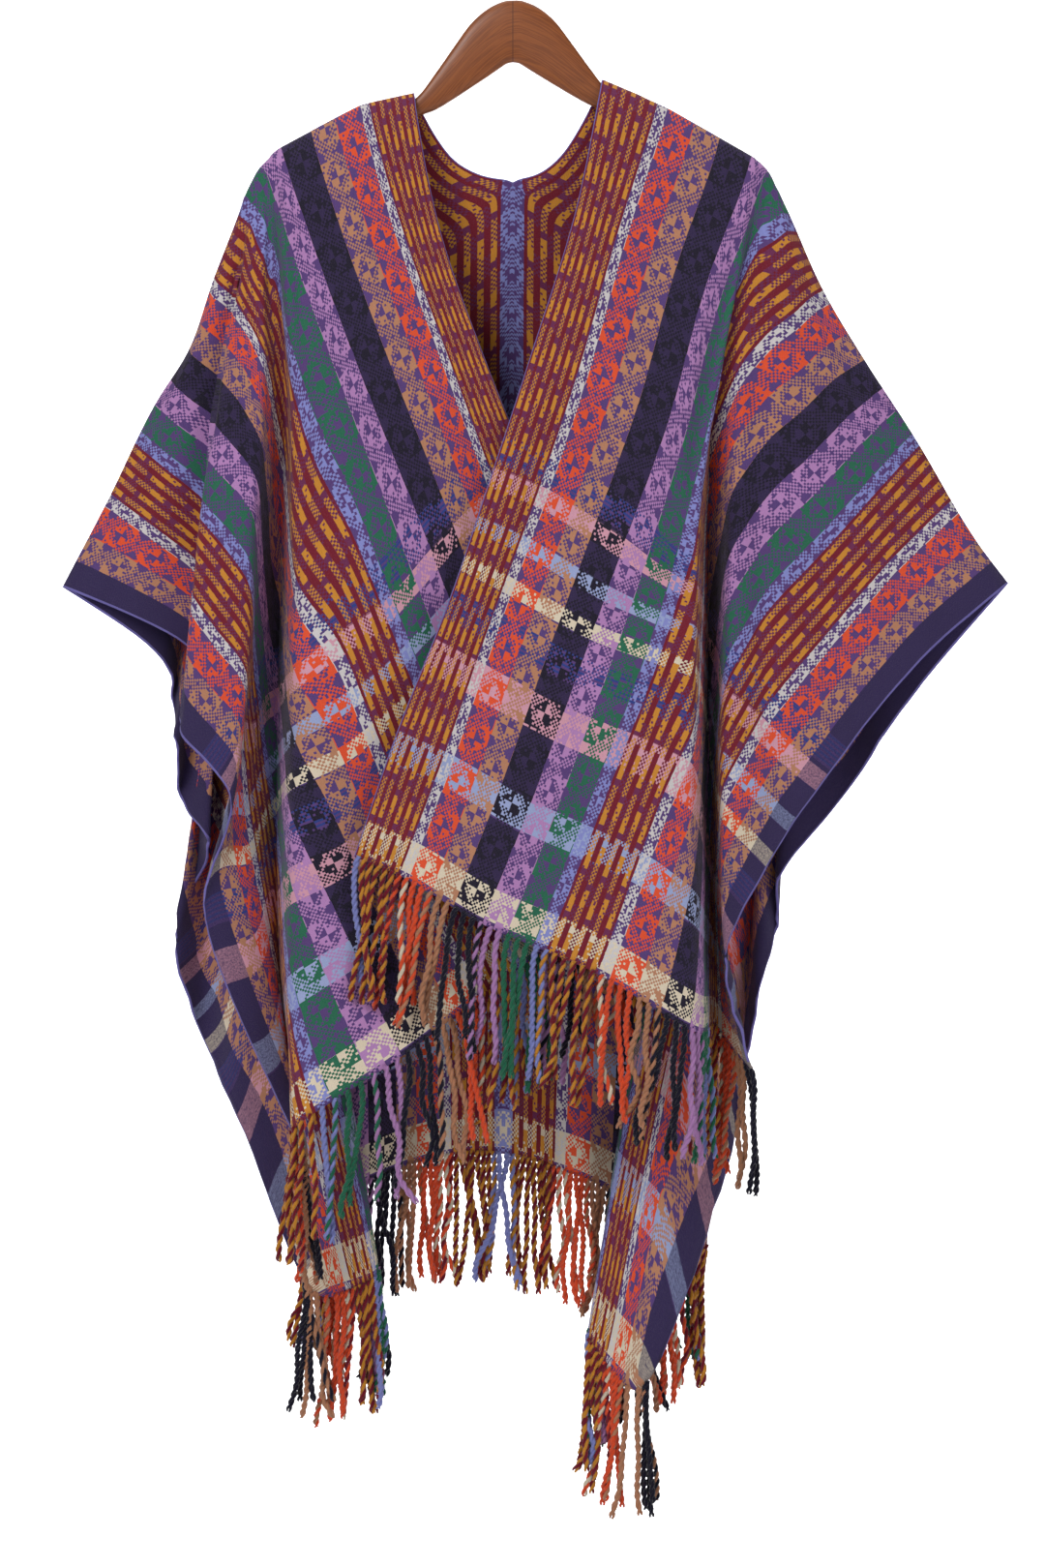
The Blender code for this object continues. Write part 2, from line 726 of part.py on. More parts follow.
def cloth_wall(name, halves, side, mat):
    """One cloth wall from one or two halves, welded where their points agree. It hands back each half's points and normals."""
    points, faces, seen, flat_ids, parts = [], [], {}, set(), []
    for grid in halves:
        rows, cols = grid.shape[:2]
        ids = np.zeros((rows, cols), int)
        for r in range(rows):
            for c in range(cols):
                p = place(*grid[r, c, :3])
                top = r == 0 or c == cols - 1
                if top:
                    p[1] = side * GAP / 2
                key = tuple(np.round(p, 6))
                if key not in seen:
                    seen[key] = len(points)
                    points.append(p)
                ids[r, c] = seen[key]
                if top:
                    flat_ids.add(int(ids[r, c]))
        mirror = grid[0, 0, 0] < grid[0, -1, 0]
        for r in range(rows - 1):
            for c in range(cols - 1):
                f = (ids[r, c], ids[r, c + 1], ids[r + 1, c + 1], ids[r + 1, c])
                faces.append(tuple(int(i) for i in (f if mirror else f[::-1])))
        parts.append(ids)
    points = np.array(points)
    thicken(name, points, faces, CLOTH, mat, sorted(flat_ids), side * GAP / 2)
    normals = sheet_normals(points, faces)
    return [(points[ids], normals[ids]) for ids in parts]


def fringe_wall(name, hems, sway, mat):
    """A plain wall in the fringe's place: it leaves the hem in line with the cloth and then hangs."""
    starts = []
    for (points, normals), last, flip in hems:
        run = range(last, -1, -1) if flip else range(last + 1)
        for c in run:
            p, above = points[-1, c], points[-2, c]
            if starts and np.linalg.norm(p - starts[-1][0]) < 0.001:
                continue
            beside = points[-1, min(c + 1, last)] - points[-1, max(c - 1, 0)]
            along = (p - above) / np.linalg.norm(p - above)
            slant = np.linalg.norm(np.cross(along, beside / np.linalg.norm(beside)))
            starts.append((p, along, normals[-1, c], 4.0 * GAP / slant))
    down = np.array((sway, 0.0, -1.0))
    down /= np.linalg.norm(down)
    points = []
    for share in (0.0, 0.22, 0.6, 1.0):
        for p, along, _, gap in starts:
            way = along * 0.35 + down * 0.65
            way /= np.linalg.norm(way)
            first = p + along * gap
            points.append(first + (way * min(share, 0.22) + down * max(0.0, share - 0.22)) * FRINGE)
    return thicken(name, points, sheet_faces(4, len(starts)), FRINGE_THICK, mat, rim_normals=[s[2] for s in starts])


left_front = wall_grid(LEFT_FRONT, STEPS["LEFT_FRONT"], ROWS)
right_front = wall_grid(RIGHT_FRONT, STEPS["RIGHT_FRONT"], ROWS)
left_back = wall_grid(LEFT_BACK, STEPS["LEFT_BACK"], ROWS)
right_back = wall_grid(RIGHT_BACK, STEPS["RIGHT_BACK"], ROWS)

left_parts = cloth_wall("front_left", [left_front], -1, WOOL_TOP)
right_parts = cloth_wall("front_right", [right_front], -1, WOOL_UNDER)
back_parts = cloth_wall("back", [left_back, right_back], 1, WOOL_BACK)


def steps_to(table, steps, name):
    """The wall step at which a named fold line lies."""
    return sum(steps[: list(table).index(name)])


fringe_wall(
    "fringe_front_left",
    [(left_parts[0], steps_to(LEFT_FRONT, STEPS["LEFT_FRONT"], "corner_line"), False)],
    -0.05,
    YARN,
)
fringe_wall(
    "fringe_front_right",
    [(right_parts[0], steps_to(RIGHT_FRONT, STEPS["RIGHT_FRONT"], "corner_line"), False)],
    0.02,
    YARN,
)
fringe_wall(
    "fringe_back",
    [
        (back_parts[0], steps_to(LEFT_BACK, STEPS["LEFT_BACK"], "corner_line"), True),
        (back_parts[1], steps_to(RIGHT_BACK, STEPS["RIGHT_BACK"], "corner_line"), False),
    ],
    0.0,
    YARN,
)


# ---------------------------------------------------------------- the hanger
# The wood's outline to the right of its middle: how high its top and bottom edges are at each distance out.
WoodRow = namedtuple("WoodRow", "u_out top bottom")
WOOD_ROWS = [
    WoodRow(0, -3, 61),
    WoodRow(6, -3, 62),
    WoodRow(14, -1, 67),
    WoodRow(28, 6, 76),
    WoodRow(44, 20, 86),
    WoodRow(62, 44, 97),
    WoodRow(80, 69, 107),
    WoodRow(98, 92, 113),
    WoodRow(130, 109, 131),
    WoodRow(170, 129, 151),
    WoodRow(210, 149, 170),
    WoodRow(238, 166, 185),
    WoodRow(250, 176, 190),
]
LEAN = 4.0  # the hanger hangs with its right arm's shoulder this much lower, and its left one's higher, than level
SINK = 3.6  # the arms run this much below the grid's top fold, leaving the wall its thickness


def hanger_wood():
    """The bent wooden arm: a rounded section carried along the outline."""
    side = [(row.u_out, row.top + SINK, row.bottom + SINK) for row in WOOD_ROWS]
    stations = [(-u, a, b) for u, a, b in reversed(side[1:])] + side
    ring_n = 12
    points, faces = [], []
    for u, a, b in stations:
        mid, half = (a + b) / 2, (b - a) / 2
        for k in range(ring_n):
            w = 2 * math.pi * (k + 0.5) / ring_n
            cx, cz = math.cos(w), math.sin(w)
            # a rounded rectangle
            px = math.copysign(abs(cx) ** 0.75, cx) * HANGER_THICK / 2
            pz = math.copysign(abs(cz) ** 0.75, cz) * half
            lean = LEAN if u < 0 else -LEAN / 2
            p = place(MID_U + u, mid - pz + lean * min(1.0, abs(u) / 98.0), 0)
            points.append((p[0], px, p[2]))
    for s in range(len(stations) - 1):
        for k in range(ring_n):
            j = (k + 1) % ring_n
            faces.append(
                (s * ring_n + k, s * ring_n + j, (s + 1) * ring_n + j, (s + 1) * ring_n + k)
            )
    faces.append(tuple(range(ring_n)))
    faces.append(tuple(reversed(range((len(stations) - 1) * ring_n, len(stations) * ring_n))))
    mesh = bpy.data.meshes.new("hanger_wood")
    mesh.from_pydata(points, [], faces)
    return finish("hanger_wood", mesh, WOOD)


def hanger_hook():
    """A plain wire hook: a short stem, a turn to one side and the open bend over the rail."""
    curve = bpy.data.curves.new("hanger_hook", "CURVE")
    curve.dimensions = "3D"
    curve.bevel_depth = WIRE_R
    curve.bevel_resolution = 2
    curve.use_fill_caps = True
    centre = np.array((0.0, 0.0, WIRE_R - HOOK_R))  # the wire's inner side is at the origin
    foot = WOOD_TOP + 0.0007 - (SINK + WOOD_ROWS[0].top - 1) * UNIT  # just clear of the wood's top
    path = [np.array((0.0, 0.0, foot))]
    path.append(np.array((0.0, 0.0, WOOD_TOP + 0.006)))
    for k in range(19):
        w = math.radians(-90 + 16 + k * (270 - 46) / 18)
        path.append(centre + HOOK_R * np.array((math.cos(w), 0.0, math.sin(w))))
    spline = curve.splines.new("POLY")
    spline.points.add(len(path) - 1)
    for p, q in zip(spline.points, path):
        p.co = (*q, 1)
    obj = bpy.data.objects.new("hanger_hook", curve)
    bpy.context.scene.collection.objects.link(obj)
    curve.materials.append(STEEL)
    return obj


hanger_wood()
hanger_hook()
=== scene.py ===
"""The looks of an open-front fringed poncho that hangs on a wooden hanger: woven wool, twisted fringes, varnished wood and wire.

The sizes and the fold tables are the part's own. u runs to the right and v down from the top of the hanger's wood, in steps of UNIT,
as seen from straight in front at VIEW_FAR. out is towards the viewer, across and along are places on the flat cloth; all three are in
millimetres, and along is negative on the back.
"""

import math
from collections import namedtuple

import bmesh
import bpy
import numpy as np
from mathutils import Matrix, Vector


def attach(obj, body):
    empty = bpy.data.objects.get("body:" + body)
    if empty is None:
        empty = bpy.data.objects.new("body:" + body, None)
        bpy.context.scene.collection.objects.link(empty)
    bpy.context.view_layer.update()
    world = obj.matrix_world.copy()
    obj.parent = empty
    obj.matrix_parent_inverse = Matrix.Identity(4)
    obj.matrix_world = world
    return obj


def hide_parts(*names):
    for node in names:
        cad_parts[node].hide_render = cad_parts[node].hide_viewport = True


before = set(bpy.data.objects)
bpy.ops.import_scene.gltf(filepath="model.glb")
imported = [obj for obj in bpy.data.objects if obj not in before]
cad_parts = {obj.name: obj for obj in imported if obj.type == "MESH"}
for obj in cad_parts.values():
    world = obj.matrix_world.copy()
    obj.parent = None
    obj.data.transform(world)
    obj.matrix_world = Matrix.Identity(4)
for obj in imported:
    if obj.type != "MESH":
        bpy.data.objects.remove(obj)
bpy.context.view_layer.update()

# ---------------------------------------------------------------- sizes
UNIT = 0.00085  # one grid step: the hanger is 522 steps wide, and a full-size hanger is 0.444 m
VIEW_FAR = 3.2  # the eye's distance from the hanger's plane
AXIS_U, AXIS_V = 540.0, 810.0  # where the line of sight meets the grid
MID_U = 530.0  # the hanger's middle
WOOD_TOP = -0.058  # height of the wood's top below the rail
CLOTH = 0.0020  # wall of the fulled woollen cloth
GAP = 0.0003  # between pieces
HALF_CLOTH = 606.0  # slit to selvedge, mm
FRONT_DROP = 718.0  # top fold to front hem, mm
BACK_DROP = 935.0  # top fold to back hem, mm
FRINGE = 0.118  # length of the fringe
FRINGE_THICK = 0.0012
ROWS = 18  # steps down each wall
HANGER_THICK = 0.012
WIRE_R = 0.0018
HOOK_R = 0.0205  # centre line of the hook's bend

Row = namedtuple("Row", "u v out across along")


def place(u, v, out):
    """A grid point and its depth as a point in space, allowing for the eye's distance."""
    y = -out / 1000.0
    f = (VIEW_FAR + y) / VIEW_FAR
    x = (AXIS_U - MID_U) * UNIT + (u - AXIS_U) * UNIT * f
    z = WOOD_TOP - AXIS_V * UNIT + (AXIS_V - v) * UNIT * f
    return np.array((x, y, z))


# ---------------------------------------------------------------- the folds, one short table each
# The wearer's left front, which lies on top. The first three lines run over the hanger's arm; the rest leave its end.
LEFT_FRONT = {
    "slit_edge": [
        Row(622, 83, 0, 0, 0),
        Row(621, 88, 8, 0, 5),
        Row(619, 99, 14, 0, 14),
        Row(594, 221, 34, 0, 120),
        Row(552, 356, 50, 0, 240),
        Row(507, 493, 62, 0, 363),
        Row(463, 623, 68, 0, 479),
        Row(410, 757, 70, 0, 600),
        Row(366, 885, 70, 0, 718),
    ],
    "white_line": [
        Row(690, 113, 0, 77, 0),
        Row(688, 118, 8, 77, 5),
        Row(685, 129, 14, 77, 14),
        Row(645, 248, 33, 77, 120),
        Row(608, 381, 47, 77, 240),
        Row(563, 516, 57, 77, 363),
        Row(513, 650, 62, 77, 479),
        Row(468, 783, 66, 77, 600),
        Row(421, 908, 67, 77, 718),
    ],
    "lilac_line": [
        Row(776, 162, 0, 165, 0),
        Row(774, 168, 8, 165, 6),
        Row(771, 180, 13, 165, 15),
        Row(730, 296, 35, 165, 120),
        Row(693, 431, 52, 165, 240),
        Row(643, 567, 63, 165, 363),
        Row(597, 695, 68, 165, 479),
        Row(548, 830, 70, 165, 600),
        Row(497, 955, 71, 165, 718),
    ],
    "panel_swell": [
        Row(781, 166, 0, 171, 0),
        Row(777, 184, 12, 174, 15),
        Row(745, 340, 37, 209, 112),
        Row(712, 500, 52, 216, 252),
        Row(690, 680, 60, 243, 440),
        Row(660, 850, 60, 276, 577),
        Row(617, 1005, 60, 290, 718),
    ],
    "front_ridge": [
        Row(785, 169, 0, 177, 0),
        Row(781, 190, 11, 184, 14),
        Row(742, 400, 44, 222, 163),
        Row(726, 500, 56, 230, 248),
        Row(719, 700, 68, 270, 448),
        Row(718, 900, 70, 355, 583),
        Row(722, 1070, 66, 400, 718),
    ],
    "deep_fold": [
        Row(788, 172, 0, 182, 0),
        Row(785, 194, 10, 192, 14),
        Row(737, 400, 18, 263, 155),
        Row(731, 520, -6, 312, 240),
        Row(731, 700, -28, 364, 400),
        Row(733, 900, -38, 460, 540),
        Row(738, 1058, -38, 505, 718),
    ],
    "corner_line": [
        Row(791, 175, 0, 187, 0),
        Row(788, 198, 9, 200, 14),
        Row(750, 400, 24, 284, 150),
        Row(741, 700, 4, 410, 375),
        Row(742, 900, 0, 520, 500),
        Row(752, 1010, -4, 570, 610),
        Row(778, 1113, 12, 606, 718),
    ],
    "wing_ridge": [
        Row(794, 179, 0, 192, 0),
        Row(791, 203, 8, 206, 14),
        Row(766, 400, 30, 304, 144),
        Row(754, 560, 40, 385, 250),
        Row(750, 700, 44, 458, 346),
        Row(746, 860, 42, 540, 455),
        Row(745, 990, 34, 606, 545),
    ],
    "wing_inner": [
        Row(797, 184, 0, 198, 0),
        Row(796, 205, 7, 208, 14),
        Row(799, 420, 24, 340, 150),
        Row(799, 640, 34, 470, 285),
        Row(800, 880, 26, 606, 432),
    ],
    "wing_middle": [
        Row(800, 191, 0, 202, 0),
        Row(801, 209, 6, 212, 12),
        Row(826, 400, 18, 340, 118),
        Row(850, 600, 23, 478, 226),
        Row(870, 780, 16, 606, 335),
    ],
    "wing_outer": [
        Row(803, 197, 0, 207, 0),
        Row(806, 212, 5, 216, 10),
        Row(855, 370, 12, 340, 84),
        Row(910, 550, 15, 490, 160),
        Row(950, 680, 10, 606, 215),
    ],
    "top_fold": [
        Row(806, 203, 0, 212, 0),
        Row(815, 222, 0, 221, 3),
        Row(850, 300, 0, 290, 20),
        Row(893, 372, 0, 357, 37),
        Row(950, 460, 0, 460, 60),
        Row(1008, 558, 0, 555, 80),
        Row(1042, 603, 0, 606, 90),
    ],
}
# The wearer's right front, which passes behind the other below the breast.
RIGHT_FRONT = {
    "slit_edge": [
        Row(428, 97, 0, 0, 0),
        Row(429, 102, 8, 0, 5),
        Row(430, 112, 14, 0, 14),
        Row(455, 238, 30, 0, 120),
        Row(500, 368, 40, 0, 240),
        Row(555, 506, 42, 0, 363),
        Row(603, 634, 42, 0, 479),
        Row(650, 768, 42, 0, 600),
        Row(690, 897, 42, 0, 718),
    ],
    "white_line": [
        Row(372, 110, 0, 77, 0),
        Row(374, 115, 8, 77, 5),
        Row(376, 126, 14, 77, 14),
        Row(412, 246, 31, 77, 120),
        Row(460, 378, 40, 77, 240),
        Row(510, 515, 41, 77, 363),
        Row(555, 644, 42, 77, 479),
        Row(600, 780, 43, 77, 600),
        Row(640, 925, 43, 77, 718),
    ],
    "lilac_line": [
        Row(291, 153, 0, 165, 0),
        Row(293, 159, 8, 165, 6),
        Row(296, 170, 13, 165, 15),
        Row(338, 294, 36, 165, 120),
        Row(388, 425, 48, 165, 240),
        Row(450, 578, 46, 165, 363),
        Row(495, 705, 45, 165, 479),
        Row(536, 848, 45, 165, 600),
        Row(572, 976, 45, 165, 718),
    ],
    "panel_swell": [
        Row(284, 158, 0, 172, 0),
        Row(289, 176, 12, 176, 15),
        Row(322, 320, 38, 195, 125),
        Row(362, 470, 52, 211, 243),
        Row(398, 625, 54, 231, 355),
        Row(396, 790, 46, 296, 474),
        Row(440, 905, 44, 288, 600),
        Row(500, 1026, 44, 290, 718),
    ],
    "plaid_swell": [
        Row(281, 161, 0, 176, 0),
        Row(286, 181, 11, 182, 15),
        Row(314, 345, 38, 206, 140),
        Row(338, 500, 52, 234, 258),
        Row(352, 680, 58, 298, 372),
        Row(356, 850, 56, 352, 492),
        Row(390, 980, 54, 375, 622),
        Row(420, 1090, 54, 392, 718),
    ],
    "front_ridge": [
        Row(278, 165, 0, 180, 0),
        Row(283, 187, 10, 187, 14),
        Row(305, 380, 42, 226, 150),
        Row(306, 560, 56, 275, 258),
        Row(303, 760, 64, 353, 406),
        Row(300, 960, 66, 430, 563),
        Row(300, 1165, 62, 478, 718),
    ],
    "deep_fold": [
        Row(275, 168, 0, 184, 0),
        Row(280, 190, 9, 192, 14),
        Row(296, 380, 14, 252, 153),
        Row(292, 600, -18, 342, 280),
        Row(288, 800, -30, 430, 420),
        Row(290, 1000, -34, 500, 572),
        Row(312, 1186, -32, 548, 718),
    ],
    "corner_line": [
        Row(272, 171, 0, 188, 0),
        Row(277, 193, 8, 198, 14),
        Row(286, 380, 18, 270, 156),
        Row(278, 600, 0, 366, 284),
        Row(277, 800, -12, 452, 410),
        Row(283, 1000, -14, 525, 580),
        Row(322, 1212, -8, 606, 718),
    ],
    "low_selvedge": [
        Row(269, 174, 0, 192, 0),
        Row(275, 197, 8, 203, 14),
        Row(279, 300, 16, 240, 84),
        Row(281, 400, 24, 291, 158),
        Row(270, 640, 10, 415, 300),
        Row(258, 860, 2, 520, 420),
        Row(246, 1050, 4, 606, 572),
    ],
    "turn_selvedge": [
        Row(267, 177, 0, 196, 0),
        Row(273, 200, 7, 208, 14),
        Row(275, 300, 19, 245, 82),
        Row(276, 400, 30, 303, 152),
        Row(264, 620, 22, 430, 280),
        Row(238, 820, 14, 545, 400),
        Row(202, 935, 12, 606, 468),
    ],
    "inner_ridge": [
        Row(265, 180, 0, 199, 0),
        Row(271, 203, 7, 212, 14),
        Row(272, 300, 25, 250, 80),
        Row(272, 400, 40, 316, 150),
        Row(265, 520, 48, 410, 220),
        Row(260, 640, 50, 480, 290),
        Row(256, 740, 46, 548, 345),
        Row(248, 834, 38, 606, 388),
    ],
    "side_front": [
        Row(263, 184, 0, 203, 0),
        Row(267, 206, 6, 216, 14),
        Row(262, 290, 22, 254, 74),
        Row(254, 370, 36, 322, 125),
        Row(240, 500, 46, 416, 190),
        Row(229, 640, 50, 505, 262),
        Row(216, 790, 42, 606, 338),
    ],
    "side_ridge": [
        Row(261, 189, 0, 207, 0),
        Row(262, 209, 6, 220, 12),
        Row(247, 285, 18, 272, 56),
        Row(232, 360, 28, 334, 95),
        Row(212, 490, 38, 428, 160),
        Row(197, 620, 42, 520, 225),
        Row(184, 755, 36, 606, 292),
    ],
    "side_fold": [
        Row(258, 195, 0, 212, 0),
        Row(257, 212, 5, 224, 10),
        Row(249, 280, 7, 268, 44),
        Row(237, 340, 9, 316, 72),
        Row(226, 460, 3, 410, 122),
        Row(216, 570, 1, 500, 180),
        Row(207, 672, 2, 606, 246),
    ],
    "wing_middle": [
        Row(255, 201, 0, 217, 0),
        Row(252, 215, 4, 228, 8),
        Row(236, 270, 7, 268, 28),
        Row(214, 330, 12, 322, 50),
        Row(180, 440, 13, 420, 98),
        Row(148, 560, 10, 535, 140),
        Row(128, 632, 8, 606, 160),
    ],
    "top_fold": [
        Row(252, 208, 0, 221, 0),
        Row(248, 220, 0, 232, 4),
        Row(222, 287, 0, 290, 22),
        Row(197, 360, 0, 357, 38),
        Row(161, 418, 0, 417, 52),
        Row(115, 510, 0, 515, 74),
        Row(65, 607, 0, 606, 90),
    ],
}
# The back, in two halves that share the middle line below the nape. Its folds over the arm run nearly straight down, so a row
# gives each one's place on the arm, halfway down and at the hem.
BackFold = namedtuple("BackFold", "name across u_arm v_arm u_mid u_hem v_hem out_mid out_hem")
MID_V = 650.0
LEFT_BACK_FOLDS = [
    BackFold("nape_crest", 43, 660, 99, 572, 556, 1200, -80, -104),
    BackFold("nape_hollow", 86, 698, 118, 614, 591, 1212, -64, -82),
    BackFold("blade_crest", 128, 739, 141, 655, 627, 1228, -82, -106),
    BackFold("blade_hollow", 168, 778, 164, 694, 662, 1246, -70, -97),
    BackFold("side_crest", 204, 783, 168, 730, 698, 1266, -92, -116),
    BackFold("back_ridge", 250, 786, 171, 760, 735, 1290, -84, -98),
]
RIGHT_BACK_FOLDS = [
    BackFold("nape_crest", 43, 398, 104, 486, 484, 1190, -78, -102),
    BackFold("nape_hollow", 86, 364, 114, 446, 449, 1196, -62, -76),
    BackFold("blade_crest", 128, 324, 135, 408, 414, 1206, -80, -108),
    BackFold("blade_hollow", 168, 287, 157, 370, 380, 1220, -68, -88),
    BackFold("side_crest", 204, 283, 161, 334, 346, 1240, -88, -110),
    BackFold("back_ridge", 250, 280, 165, 296, 314, 1262, -84, -98),
]


def back_fold_lines(folds):
    """Each fold's line from the arm to the hem; the cloth leaves the arm flat and the folds deepen as it falls."""
    lines = {}
    for f in folds:
        drop = f.v_hem - f.v_arm
        lean = (f.u_mid - f.u_arm) / (MID_V - f.v_arm)
        early = (300 - f.v_arm) / drop
        half = (MID_V - f.v_arm) / drop
        across_top = min(f.across, 165 + (f.across - 165) * 0.2) if f.across > 165 else f.across
        across_half = across_top + (f.across - across_top) * 0.6
        lines[f.name] = [
            Row(f.u_arm, f.v_arm, 0, across_top, 0),
            Row(f.u_arm + lean * 7, f.v_arm + 7, -10, across_top, -7),
            Row(f.u_arm + lean * 20, f.v_arm + 20, -13.5, across_top, -18),
            Row(f.u_arm + lean * (300 - f.v_arm), 300, -34, across_top, -early * BACK_DROP),
            Row(f.u_mid, MID_V, f.out_mid, across_half, -half * BACK_DROP),
            Row((f.u_mid + f.u_hem) / 2, (MID_V + f.v_hem) / 2, (f.out_mid + f.out_hem) / 2,
                (across_half + f.across) / 2, -(half + 1) / 2 * BACK_DROP),
            Row(f.u_hem, f.v_hem, f.out_hem, f.across, -BACK_DROP),
        ]
    return lines


LEFT_BACK = {
    "middle": [
        Row(622, 83, 0, 0, 0),
        Row(621, 88, -9, 0, -5),
        Row(612, 107, -14, 0, -21),
        Row(596, 137, -17, 0, -50),
        Row(578, 163, -20, 0, -78),
        Row(556, 180, -22, 0, -100),
        Row(530, 186, -24, 0, -118),
        Row(529, 300, -38, 0, -214),
        Row(528, 650, -64, 0, -510),
        Row(524, 930, -72, 0, -745),
        Row(520, 1192, -74, 0, -935),
    ],
    **back_fold_lines(LEFT_BACK_FOLDS),
    "inner_fold": [
        Row(789, 173, 0, 184, 0),
        Row(788, 184, -8, 190, -7),
        Row(785, 200, -11, 200, -18),
        Row(756, 420, -40, 262, -200),
        Row(716, 700, -58, 335, -430),
        Row(654, 1040, -68, 402, -720),
        Row(600, 1372, -66, 440, -935),
    ],
    "corner_line": [
        Row(792, 177, 0, 190, 0),
        Row(791, 187, -8, 197, -7),
        Row(789, 204, -10, 208, -16),
        Row(772, 420, -38, 312, -190),
        Row(748, 720, -56, 436, -420),
        Row(712, 1060, -60, 545, -700),
        Row(665, 1450, -52, 606, -935),
    ],
    "low_selvedge": [
        Row(795, 181, 0, 195, 0),
        Row(794, 191, -8, 202, -7),
        Row(793, 208, -9, 213, -15),
        Row(780, 430, -40, 325, -175),
        Row(766, 720, -60, 455, -390),
        Row(748, 1030, -64, 560, -625),
        Row(727, 1290, -60, 606, -770),
    ],
    "rear_pleat": [
        Row(797, 185, 0, 199, 0),
        Row(797, 195, -8, 206, -6),
        Row(796, 211, -9, 216, -14),
        Row(786, 430, -64, 335, -160),
        Row(792, 720, -100, 475, -355),
        Row(766, 1150, -104, 606, -640),
    ],
    "side_selvedge": [
        Row(799, 189, 0, 202, 0),
        Row(799, 199, -7, 209, -6),
        Row(799, 214, -8, 219, -12),
        Row(790, 430, -34, 345, -130),
        Row(788, 720, -52, 500, -300),
        Row(780, 1030, -56, 606, -490),
    ],
    "turn_rear": [
        Row(801, 193, 0, 206, 0),
        Row(802, 203, -7, 212, -5),
        Row(803, 217, -8, 221, -10),
        Row(812, 430, -56, 350, -110),
        Row(822, 690, -86, 495, -245),
        Row(806, 955, -82, 606, -410),
    ],
    "turn_selvedge": [
        Row(803, 197, 0, 209, 0),
        Row(804, 207, -6, 215, -4),
        Row(807, 220, -7, 224, -8),
        Row(812, 430, -26, 355, -95),
        Row(808, 680, -42, 500, -215),
        Row(800, 905, -42, 606, -345),
    ],
    "wing_rear": [
        Row(804, 200, 0, 211, 0),
        Row(807, 211, -6, 218, -3),
        Row(811, 224, -7, 227, -6),
        Row(850, 430, -44, 355, -60),
        Row(886, 650, -64, 500, -145),
        Row(872, 826, -60, 606, -235),
    ],
    "wing_outer": [
        Row(805, 202, 0, 212, 0),
        Row(809, 213, -5, 219, -2),
        Row(815, 227, -6, 228, -4),
        Row(860, 400, -16, 350, -35),
        Row(902, 580, -20, 490, -75),
        Row(938, 722, -17, 606, -105),
    ],
    "top_fold": LEFT_FRONT["top_fold"],
}
